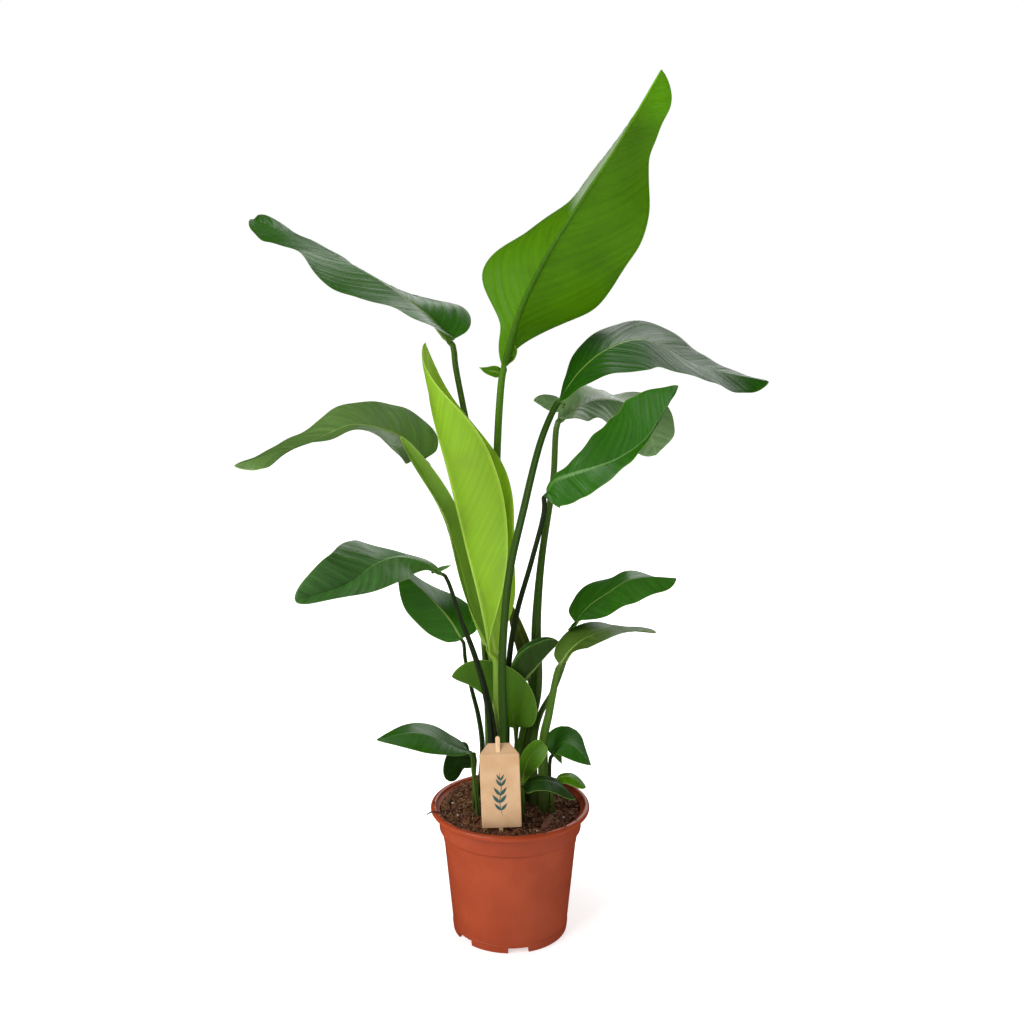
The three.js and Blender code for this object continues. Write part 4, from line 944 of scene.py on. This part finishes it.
# The top leaf's pale silvery turned colour is a painted sheen on its turned-over margin, its lighter tip is
# painted light, and the dark colour under its midrib is painted shade on the raised rib.
leaf(
    dict(BRIGHT_GREEN, light=0.42, seed=1.0, shaded_rib_under=(26, 62, 4), gloss=0.16, turned=(196, 210, 184)),
    "bright_leaf",
    name="leaf_top",
    stalk=[[-13, 19, 100], [-14, 20, 130], [-15, 20, 203], [-19, 18, 316], [-15, 10, 468], [-11, 4, 562]],
    wide=[6, 5.5, 4.5, 4, 3.6],
    deep=[5, 4.6, 4, 3.6, 3.2],
    rib=[[-6, 0, 604], [9, -8, 658], [37, -22, 715], [69, -32, 766], [99, -36, 811], [142, -30, 884]],
    face=[[-0.25, 0.9, 0.35], [-0.25, 0.9, 0.35], [-0.45, 0.8, 0.2]],
    width=80,
    outline=[0.5, 0.6],
    lean=[-0.3, 0.1, 0.35, 0.1],
    right_lean=[-0.1, -0.2, 0.3, 0.2, 0.1],
    right_outline=[0.95, 0.85],
    right_share=0.95,
    left_full=[0.4, 0.8, 1.1, 1.05, 1, 0.88, 0.72, 0.72, 1.2],
    right_full=[1.1, 0.55, 1.15, 0.8, 0.7, 0.75, 0.6, 0.7, 1],
    left=[70, 12, 5, 18, 0],
    right=[60, 60, 105, 122, 150],
    curl_left=[10, 10, 10],
    curl_right=[0, 0, 40, 60, 40],
    waves=[(-1, 3.0, 3.0, 0.1), (1, 2.0, 2.5, 0.3), (0, 0.6, 9.0, 0.4)],
    ears=[
        dict(stalk=[[-8, 3, 596], [-8, 3, 598]], wide=[1.6, 1.5], deep=[1.4, 1.2], rib=[[-10, 2, 599],
             [-16, 1, 601], [-23, 0, 602], [-31, -1, 605]], face=[[0, -1, 0.2]], width=6,
             outline=[0.3, 1.1], left=[-15, 20], right=[10, 30]),
        dict(stalk=[[-7, 2, 604], [-6, 2, 607]], wide=[1.6, 1.5], deep=[1.4, 1.2], rib=[[-4, 1, 610],
             [1, 0, 615], [4, -1, 621], [5, -1, 627]], face=[[0.2, -1, 0]], width=4, outline=[0.4, 0.6],
             left=[10, 10], right=[20, 20]),
    ],
)
leaf(
    dict(DEEP_GREEN, seed=2.0, upper=(66, 130, 32), light=0.36, gloss=0.48),
    "leaf_green",
    name="leaf_upper_left",
    stalk=[[-6, 31, 100], [-6, 31, 130], [-8, 32, 199], [-12, 32, 312], [-27, 26, 455], [-48, 14, 566],
        [-55, 6, 607]],
    wide=[5, 4.4, 3.8, 3.4, 3],
    deep=[4.4, 4, 3.6, 3.2, 3],
    rib=[[-61, 4, 631], [-82, 8, 656], [-103, 12, 672], [-134, 20, 693], [-202, 44, 727],
        [-265, 66, 753]],
    face=[[0.4, -0.6, 0.7]],
    width=57,
    outline=[0.5, 0.55],
    left_full=[1.3, 1.2, 0.75, 0.95, 1.1, 0.9, 1, 0.9, 0.8],
    right_full=[1, 1.2, 1, 1, 1, 1, 0.7, 0.6, 1.1],
    left=[60, 10, 20, 5],
    right=[30, -35, -35, -5],
    waves=[(0, 2.0, 3.0, 0.2), (0, 0.6, 8.0, 0.1)],
)
leaf(
    dict(DEEP_GREEN, seed=3.0, upper=(46, 106, 16), stem=(54, 84, 26), gloss=0.14),
    "leaf_green",
    name="leaf_upper_right",
    stalk=[[-4, -17, 100], [-4, -18, 130], [-6, -21, 219], [-8, -29, 277], [-7, -47, 336], [0, -65, 412],
        [12, -61, 466], [31, -30, 536]],
    wide=[5.6, 5, 4.6, 4.4, 4, 3.8, 3.5, 3.3],
    deep=[4.6, 4.4, 4.2, 4, 3.8, 3.6, 3.3, 3],
    rib=[[50, -4, 573], [70, 0, 601], [98, 6, 623], [134, 14, 632], [194, 26, 605], [267, 33, 588]],
    face=[[-0.3, -0.5, 0.8]],
    width=56,
    outline=[0.5, 0.75],
    left_full=[0.8, 0.85, 1.1, 1.3, 1.2, 1, 0.9, 0.9, 1],
    right_full=[1, 1, 1.05, 1.2, 1, 1, 1.15, 1, 1],
    left=[-40, -20, -15, -30],
    right=[45, 5, 20, -15],
    waves=[(0, 1.5, 2.5, 0.5), (0, 0.5, 8.0, 0.3)],
)
leaf(
    dict(DEEP_GREEN, seed=4.0, upper=(138, 176, 112), under=(128, 166, 98), gloss=0.46),
    "leaf_green",
    name="leaf_behind_right",
    stalk=[[14, 11, 100], [14, 11, 130], [16, 13, 206], [27, 16, 261], [28, 20, 338], [33, 24, 402],
        [45, 30, 486]],
    wide=[9, 8.6, 8, 5.6, 4, 3.4, 3.2],
    deep=[6.5, 6, 5.4, 4.6, 3.8, 3.2, 3],
    rib=[[54, 32, 550], [71, 40, 563], [94, 48, 569], [126, 64, 562], [148, 86, 540], [160, 98, 503]],
    face=[[-0.4, -0.5, 0.75], [-0.2, -0.6, 0.75], [0.3, -0.7, 0.6]],
    width=50,
    outline=[0.5, 0.6],
    lean=[-0.5, 0, 0],
    left_full=[0.6, 0.9, 1.2, 1.2, 1, 1, 1.3, 1.2, 1.6],
    right_full=[1, 1, 0.7, 1.2, 1.2, 1.2, 1, 1, 1.1],
    left=[-40, -20, -25, 15],
    right=[35, -15, -40, -10],
    waves=[(0, 2.0, 3.5, 0.1), (0, 0.8, 7.0, 0.6)],
    ears=[
        dict(stalk=[[55, 28, 562], [54, 27, 564]], wide=[1.4, 1.2], deep=[1.1, 1], rib=[[52, 26, 566],
             [42, 24, 567], [33, 23, 569], [24, 22, 570]], face=[[0, -0.6, 0.8]], width=11,
             outline=[0.35, 0.8], left=[-20, 10], right=[0, 25]),
    ],
)
leaf(
    dict(DEEP_GREEN, seed=5.0, upper=(50, 112, 16), stem=(38, 54, 22), under=(58, 98, 24),
        rib=(84, 132, 46), gloss=0.34),
    "leaf_green",
    name="leaf_mid_right",
    stalk=[[-4, 13, 100], [-4, 14, 130], [-4, 14, 206], [-1, 12, 298], [7, 0, 351], [22, -24, 413],
        [34, -40, 468]],
    wide=[4.4, 4, 3.6, 3, 2.8],
    deep=[4, 3.6, 3.2, 2.8, 2.6],
    rib=[[36, -43, 484], [43, -49, 497], [61, -58, 506], [85, -70, 515], [104, -77, 524], [128, -84, 543],
        [158, -82, 593]],
    face=[[-0.6, 0.1, 0.7]],
    width=53,
    outline=[0.5, 0.7],
    left_full=[0.15, 0.2, 0.35, 0.75, 1, 1.1, 1.2, 1.15, 0.7],
    right_full=[0.9, 0.65, 0.55, 0.4, 0.25, 0.3, 0.5, 0.7, 1],
    left=[50, 40, 45, 50],
    right=[-60, -75, -40, 0, 5],
    waves=[(0, 1.2, 2.5, 0.4), (0, 0.5, 8.0, 0.2)],
)
# This leaf's upper colour is much lighter than the deep green of the others: its own green lightened by a
# painted sheen.
leaf(
    dict(DEEP_GREEN, seed=6.0, upper=(112, 150, 74), gloss=0.46),
    "leaf_green",
    name="leaf_mid_left",
    stalk=[[-23, 12, 100], [-23, 12, 130], [-23, 12, 207], [-26, 12, 296], [-34, 10, 373], [-53, 8, 437],
        [-74, 4, 485]],
    wide=[4.6, 4.2, 3.8, 3.4, 3],
    deep=[4, 3.6, 3.2, 3, 2.8],
    rib=[[-88, 2, 511], [-101, -2, 528], [-122, -10, 542], [-157, -18, 549], [-193, -24, 535],
        [-273, -33, 510]],
    face=[[0.5, -0.5, 0.7]],
    width=43,
    outline=[0.5, 0.8],
    left_full=[0.2, 0.75, 0.95, 0.85, 0.8, 0.9, 1.5, 0.9, 0.9],
    right_full=[1, 1.05, 1, 0.9, 0.85, 1.1, 1.3, 1, 1],
    left=[-35, 30, 50, -10],
    right=[30, -5, -37, -38],
    waves=[(0, 1.5, 3.0, 0.0), (0, 0.6, 8.0, 0.5)],
)

# The young leaves. The yellow-green one is still half rolled round itself, and the narrow one beside
# it is folded shut along its midrib. Both are softer and let more light through than the old ones.
YOUNG_GREEN = dict(upper=(158, 200, 48), under=(152, 196, 46), stem=(138, 180, 56), glow=(196, 228, 50),
                   rib=(178, 210, 84), rim=(206, 222, 130), foot=(124, 150, 66), gloss=0.3)
# The young leaf's upper side has a lighter colour than its underside: painted light on the upper side of its
# far half, which lies in shade.
leaf(
    dict(YOUNG_GREEN, upper=(178, 214, 70), light=0.42, seed=7.0, rough=0.46, vein=0.05),
    "young_leaf",
    name="leaf_young",
    stalk=[[-8, -6, 100], [-8, -6, 130], [-9, -8, 214], [-13, -11, 258]],
    wide=[6.4, 6, 5.4, 5],
    deep=[4.8, 4.8, 4.6, 4.4],
    rib=[[-15, -12, 307], [-26, -14, 361], [-43, -16, 426], [-60, -18, 499], [-78, -16, 569],
        [-84, -10, 630]],
    face=[[0.95, -0.15, 0.2]],
    width=54,
    outline=[0.6, 0.8],
    lean=[0.1, 0.3, 0.4],
    right_full=[0.2, 0.75, 0.95, 1.1, 1.1, 1.02, 0.98, 1, 1],
    left=[-10, 65, 70, -20],
    right=[70, 105, 45, 0],
    curl_left=[20, 60, 50],
    curl_right=[40, 60, 40],
    pleat=0.06,
)
leaf(
    dict(YOUNG_GREEN, upper=(140, 184, 62), under=(132, 176, 54), seed=8.0, vein=0.1),
    "bright_leaf",
    name="leaf_spear",
    stalk=[[-20, 3, 100], [-20, 3, 130], [-17, 4, 210], [-16, 4, 255], [-18, 4, 286]],
    wide=[4, 3.8, 3.4, 3, 2.8],
    deep=[3.4, 3.2, 3, 2.8, 2.6],
    rib=[[-23, 3, 311], [-41, 1, 358], [-54, -3, 412], [-66, -7, 452], [-85, -13, 495], [-109, -21, 538]],
    face=[[0.5, -0.8, 0.1]],
    width=17,
    outline=[0.5, 0.5],
    lean=[0, 0.2],
    left_full=[0.6, 0.8, 1.2, 1.2, 0.6],
    right_full=[1, 1, 1, 0.9, 0.6],
    left=[70, 50, 65, 25],
    right=[20, 15, 15, 10],
    curl_left=[30, 30],
    curl_right=[30, 30],
    pleat=0.12,
)

# The leaves of middle height. Smaller leaves of the same growth, on thinner stalks, that spread to
# both sides over the pot.
# This leaf's upper colour is lighter and greyer than the deep green of the others: its own green lightened by
# a painted sheen.
leaf(
    dict(DEEP_GREEN, seed=9.0, upper=(80, 132, 60), rib=(110, 150, 70), stem=(38, 52, 22), vein=0.9,
        gloss=0.6),
    "leaf_green",
    name="leaf_low_left",
    stalk=[[-20, -16, 100], [-20, -16, 130], [-18, -18, 220], [-26, -23, 275], [-37, -28, 316],
        [-50, -33, 354]],
    wide=[7.4, 7, 5.4, 3.4, 2.5, 1.9],
    deep=[5.6, 5.2, 4.2, 3.2, 2.5, 1.9],
    rib=[[-69, -38, 402], [-84, -46, 415], [-108, -58, 424], [-128, -74, 421], [-157, -96, 405],
        [-201, -120, 395]],
    face=[[0.3, -0.55, 0.75]],
    width=36,
    outline=[0.5, 0.7],
    left_full=[0.3, 0.3, 0.6, 0.9, 1, 1.05, 1, 1, 1.2],
    right_full=[0.3, 0.4, 0.5, 1.1, 1.05, 1.05, 1.1, 1.05, 1.1],
    left=[0, 5, 35, 30],
    right=[-10, -35, 35, 25],
    pleat=0.8,
    waves=[(0, 1.2, 2.5, 0.2)],
    ears=[
        dict(stalk=[[-76, -42, 404], [-75, -41, 405]], wide=[1.2, 1.1], deep=[1, 0.9],
             rib=[[-74, -40, 405], [-68, -38, 407], [-59, -36, 410]], face=[[0, -0.8, 0.5]], width=2.5,
             outline=[0.4, 0.9], left=[10, 10], right=[10, 10]),
    ],
)
leaf(
    dict(DEEP_GREEN, seed=10.0, stem=(52, 76, 30)),
    "leaf_green",
    name="leaf_low_left_back",
    stalk=[[-34, 20, 100], [-34, 20, 130], [-30, 22, 194], [-34, 22, 229], [-41, 22, 259],
        [-48, 19, 296]],
    wide=[4, 3.4, 2.8, 2.2, 1.9],
    deep=[3.4, 3, 2.6, 2.2, 1.9],
    rib=[[-52, 16, 318], [-64, 14, 340], [-84, 10, 365], [-102, 5, 383], [-116, 2, 395]],
    face=[[0.3, -0.75, 0.55]],
    width=31,
    outline=[0.45, 0.7],
    lean=[-0.35, 0, 0.3],
    left_full=[0.8, 0.95, 1, 1, 1],
    left=[-50, -40, 15],
    right=[50, -40, -35],
    waves=[(0, 1.0, 2.0, 0.2)],
)
leaf(
    dict(DEEP_GREEN, seed=11.0, stem=(74, 106, 30)),
    "leaf_green",
    name="leaf_right_high",
    stalk=[[25, 0, 100], [26, 0, 130], [26, 1, 215], [33, 2, 242], [46, 5, 265], [59, 11, 300]],
    wide=[5, 4.4, 3.8, 3, 2.6, 2.3],
    deep=[4, 3.8, 3.4, 2.8, 2.6, 2.3],
    rib=[[69, 7, 338], [82, -2, 358], [100, -13, 375], [120, -23, 391], [141, -33, 397], [166, -42, 398]],
    face=[[-0.2, -0.6, 0.75]],
    width=38,
    outline=[0.5, 0.7],
    left=[5, -35, -70],
    right=[60, 15, -5],
    waves=[(0, 2.2, 3.5, 0.3)],
    pleat=0.6,
)
leaf(
    dict(DEEP_GREEN, upper=(94, 126, 46), under=(100, 130, 54), seed=12.0),
    "leaf_green",
    name="leaf_right_low",
    stalk=[[35, -16, 100], [36, -16, 130], [35, -19, 219], [40, -24, 248], [45, -29, 278]],
    wide=[6, 5.8, 5.2, 4.2, 3.2],
    deep=[5, 4.8, 4.2, 3.6, 2.8],
    rib=[[52, -33, 305], [61, -37, 321], [74, -44, 335], [90, -53, 345], [107, -63, 351],
        [143, -78, 352]],
    face=[[-0.25, -0.75, 0.55]],
    width=34,
    outline=[0.5, 0.9],
    left_full=[0.6, 0.8, 1.05, 1.2, 1, 0.9, 1.1, 1.2, 1.5],
    right_full=[1, 1, 0.6, 0.8, 1.2, 1.8, 1, 1, 1],
    left=[-5, -60, -55],
    right=[60, 50, 80],
    waves=[(0, 0.8, 2.0, 0.3)],
)
leaf(
    dict(DEEP_GREEN, upper=(72, 138, 36), under=(58, 90, 22), seed=13.0),
    "leaf_green",
    name="leaf_mid_fold",
    stalk=[[4, 4, 100], [4, 4, 130], [6, 4, 206], [9, 3, 245]],
    wide=[2.6, 2.4, 2.2, 1.9],
    deep=[2.4, 2.2, 2, 1.8],
    rib=[[12, 2, 270], [17, 2, 280], [25, 2, 289], [34, 2, 300], [43, 2, 310], [52, 4, 318]],
    face=[[-0.6, 0, 0.8]],
    width=25,
    outline=[0.45, 0.6],
    lean=[0.2, 0, 0.1],
    left=[75, 75, 65],
    right=[88, 74, 60],
)
leaf(
    dict(BRIGHT_GREEN, upper=(84, 130, 22), under=(82, 128, 22), seed=14.0, vein=0.15, rib=(82, 124, 26)),
    "bright_leaf",
    name="leaf_mid_front",
    stalk=[[6, -4, 100], [6, -4, 130], [7, -4, 200]],
    wide=[2.8, 2.4, 2],
    deep=[2.6, 2.2, 2],
    rib=[[5, -4, 227], [2, -4, 247], [-7, -4, 264], [-21, -5, 275], [-38, -7, 283], [-61, -10, 285]],
    face=[[0, -0.95, 0.1]],
    width=29,
    outline=[0.4, 0.75],
    lean=[-0.25, 0, 0.2],
    left_share=0.55,
    left=[-10, -10, -10],
    right=[25, 10, -10],
)

# The small leaves near the peat, and the flat old sheath among the stalks. The first leaves of the
# plant stay this short, and hang out over the lip of the pot.
leaf(
    dict(DEEP_GREEN, seed=15.0, rib=(74, 112, 40)),
    "leaf_green",
    name="leaf_base_left",
    stalk=[[-31, -25, 100], [-32, -26, 126], [-38, -30, 188]],
    wide=[3, 2.6, 2.1],
    deep=[2.8, 2.4, 2.1],
    rib=[[-45, -36, 213], [-60, -42, 223], [-75, -50, 234], [-96, -62, 243], [-115, -74, 245],
        [-132, -84, 244]],
    face=[[0.2, -0.6, 0.75]],
    width=26,
    outline=[0.5, 0.75],
    left=[70, 10, 25],
    right=[-30, -35, -60],
    waves=[(0, 0.8, 2.0, 0.3)],
)
leaf(
    dict(DEEP_GREEN, upper=(34, 64, 18), under=(46, 74, 22), seed=16.0, rib=(52, 84, 30)),
    "leaf_green",
    name="leaf_base_left_small",
    stalk=[[-37, -10, 100], [-38, -10, 126], [-38, -12, 176]],
    wide=[2.6, 2.2, 1.9],
    deep=[2.4, 2.1, 1.9],
    rib=[[-42, -14, 200], [-49, -20, 201], [-57, -26, 195], [-63, -32, 178]],
    face=[[0.35, -0.75, 0.5]],
    width=16,
    outline=[0.4, 0.5],
    lean=[-0.4, 0],
    left=[30, -30, -20],
    right=[-5, 25, 20],
)
leaf(
    dict(DEEP_GREEN, seed=17.0, rib=(78, 116, 46), stem=(44, 66, 22)),
    "leaf_green",
    name="leaf_base_right",
    stalk=[[42, -2, 100], [42, -2, 130], [42, -4, 172]],
    wide=[2.6, 2.2, 1.9],
    deep=[2.4, 2.1, 1.9],
    rib=[[45, -6, 197], [50, -10, 208], [57, -16, 216], [67, -24, 213], [84, -32, 196]],
    face=[[-0.1, -0.7, 0.65]],
    width=22,
    outline=[0.45, 0.85],
    lean=[-0.2, 0, 0.2],
    left=[10, -35, -60],
    right=[20, 20, 40],
    waves=[(0, 0.8, 2.0, 0.3)],
)
leaf(
    dict(BRIGHT_GREEN, seed=18.0),
    "bright_leaf",
    name="leaf_rim_right",
    stalk=[[47, -19, 100], [47, -19, 124]],
    wide=[2.4, 2.1, 1.8],
    deep=[2.3, 2, 1.8],
    rib=[[47, -22, 172], [53, -27, 181], [62, -34, 184], [78, -44, 176]],
    face=[[0, -0.5, 0.85]],
    width=9,
    outline=[0.45, 0.6],
    lean=[-0.2, 0.2],
    left=[-20, -25],
    right=[-20, 0],
)
leaf(
    dict(DEEP_GREEN, upper=(42, 76, 24), seed=19.0, rib=(62, 96, 38)),
    "leaf_green",
    name="leaf_low_dark",
    stalk=[[15, -33, 100], [15, -35, 126]],
    wide=[2.6, 2.3, 2],
    deep=[2.4, 2.2, 2],
    rib=[[14, -46, 179], [29, -52, 188], [46, -58, 188], [67, -62, 172]],
    face=[[0, -0.5, 0.85]],
    width=16,
    outline=[0.45, 0.7],
    lean=[-0.2, 0.2],
    left=[-25, -55],
    right=[5, 20],
)
leaf(
    dict(BRIGHT_GREEN, upper=(98, 152, 24), under=(102, 156, 28), seed=20.0),
    "bright_leaf",
    name="leaf_small_bright",
    stalk=[[14, -18, 100], [14, -20, 128]],
    wide=[4, 3.4, 2.8],
    deep=[3.2, 2.8, 2.4],
    rib=[[13, -30, 176], [15, -34, 192], [21, -36, 208], [34, -34, 222]],
    face=[[0.2, -0.9, 0.3]],
    width=14,
    outline=[0.9, 0.5],
    lean=[0, 0.3],
    left=[45, 35],
    right=[25, 25],
    curl_left=[20, 20],
    curl_right=[20, 20],
)
leaf(
    dict(DEEP_GREEN, upper=(112, 122, 48), under=(106, 116, 52), stem=(104, 118, 50), seed=21.0,
        light=0.1),
    "old_leaf",
    name="sheath_olive",
    stalk=[[24, 22, 100], [24, 23, 130], [24, 27, 201], [24, 30, 239]],
    wide=[6.4, 6, 5.4, 4.4],
    deep=[2.8, 2.8, 2.6, 2.4],
    rib=[[23, 32, 267], [17, 32, 301], [8, 32, 329], [-1, 30, 355]],
    face=[[0.3, -0.9, 0.2]],
    width=11,
    outline=[0.35, 0.6],
    lean=[0, 0.2],
    left=[15, 5],
    right=[70, 70],
    curl_left=[20, 20],
    curl_right=[20, 20],
)

# The studio. A plain white floor that brightens into an even white backdrop, a wide soft light at
# the left of the camera, a weaker one at the right, and a broad one above and behind.


def floor_white():
    """White that is lit like any surface near the plant, and shines evenly a step away from it."""
    f = Finish("floor_white")
    away = f.node("ShaderNodeVectorMath", {"operation": "LENGTH"}, {0: f.place()}, out="Value")
    glow = f.mix(away.ramp(0.06, 0.27), (0.55, 0.55, 0.55, 1), (0.95, 0.95, 0.95, 1))
    return f.done(f.skin((0.8, 0.8, 0.8, 1), 0.9, Emission_Color=glow, Emission_Strength=1.0))


def floor():
    """A round floor: one ring of points about the middle."""
    turn = np.linspace(0, 2 * np.pi, 97)[:-1]
    ring = np.stack((9 * np.cos(turn), 9 * np.sin(turn), 0 * turn), axis=1)
    mesh = bpy.data.meshes.new("floor")
    mesh.from_pydata([tuple(map(float, p)) for p in ring], [], [list(range(96))])
    mesh.materials.append(floor_white())
    made = bpy.data.objects.new("floor", mesh)
    bpy.context.scene.collection.objects.link(made)
    made.visible_glossy = False


def backdrop():
    """A ball round the floor, seen by the camera but casting no light of its own."""
    lean, turn = np.linspace(0.02, np.pi - 0.02, 30)[:, None], np.linspace(0, 2 * np.pi, 61)[None, :]
    ball = 8.9 * on_ball(lean, turn)
    mesh = bpy.data.meshes.new("backdrop")
    mesh.from_pydata(ball.reshape(-1, 3).tolist(), [], grid_quads(*ball.shape[:2]).tolist())
    f = Finish("backdrop_white")
    white = f.node("ShaderNodeEmission", None, {"Color": (1, 1, 1, 1), "Strength": 1.0})
    mesh.materials.append(f.done(white))
    made = bpy.data.objects.new("backdrop", mesh)
    bpy.context.scene.collection.objects.link(made)
    made.visible_diffuse = made.visible_glossy = made.visible_transmission = made.visible_shadow = False


def softbox(name, place, aim, size, watts):
    """A square light that faces the point it is aimed at."""
    lamp = bpy.data.lights.new(name, "AREA")
    lamp.size, lamp.energy = size, watts
    made = bpy.data.objects.new(name, lamp)
    made.location = place
    made.rotation_euler = (Vector(aim) - Vector(place)).to_track_quat("-Z", "Y").to_euler()
    bpy.context.scene.collection.objects.link(made)


floor()
backdrop()
softbox("key", (-1.5, -1.2, 1.5), (0, 0, 0.35), 1.6, 42)
softbox("fill", (1.6, -1.5, 0.9), (0, 0, 0.4), 1.2, 1.0)
softbox("back", (0.7, 1.7, 1.5), (0, 0, 0.5), 1.8, 24)
world = bpy.data.worlds.new("room")
world.use_nodes = True
world.node_tree.nodes["Background"].inputs["Color"].default_value = (1, 1, 1, 1)
world.node_tree.nodes["Background"].inputs["Strength"].default_value = 0.24
world.cycles_visibility.glossy = False
bpy.context.scene.world = world
bpy.context.scene.view_settings.view_transform = "Standard"

camera = bpy.data.objects.new("camera", bpy.data.cameras.new("camera"))
camera.data.lens = 41.87
camera.data.sensor_width = 36.0
camera.location = (0.002, -1.2, 0.68)
camera.rotation_euler = (np.radians(79.5), 0, 0)
camera.data.clip_end = 50.0
bpy.context.scene.collection.objects.link(camera)
bpy.context.scene.camera = camera
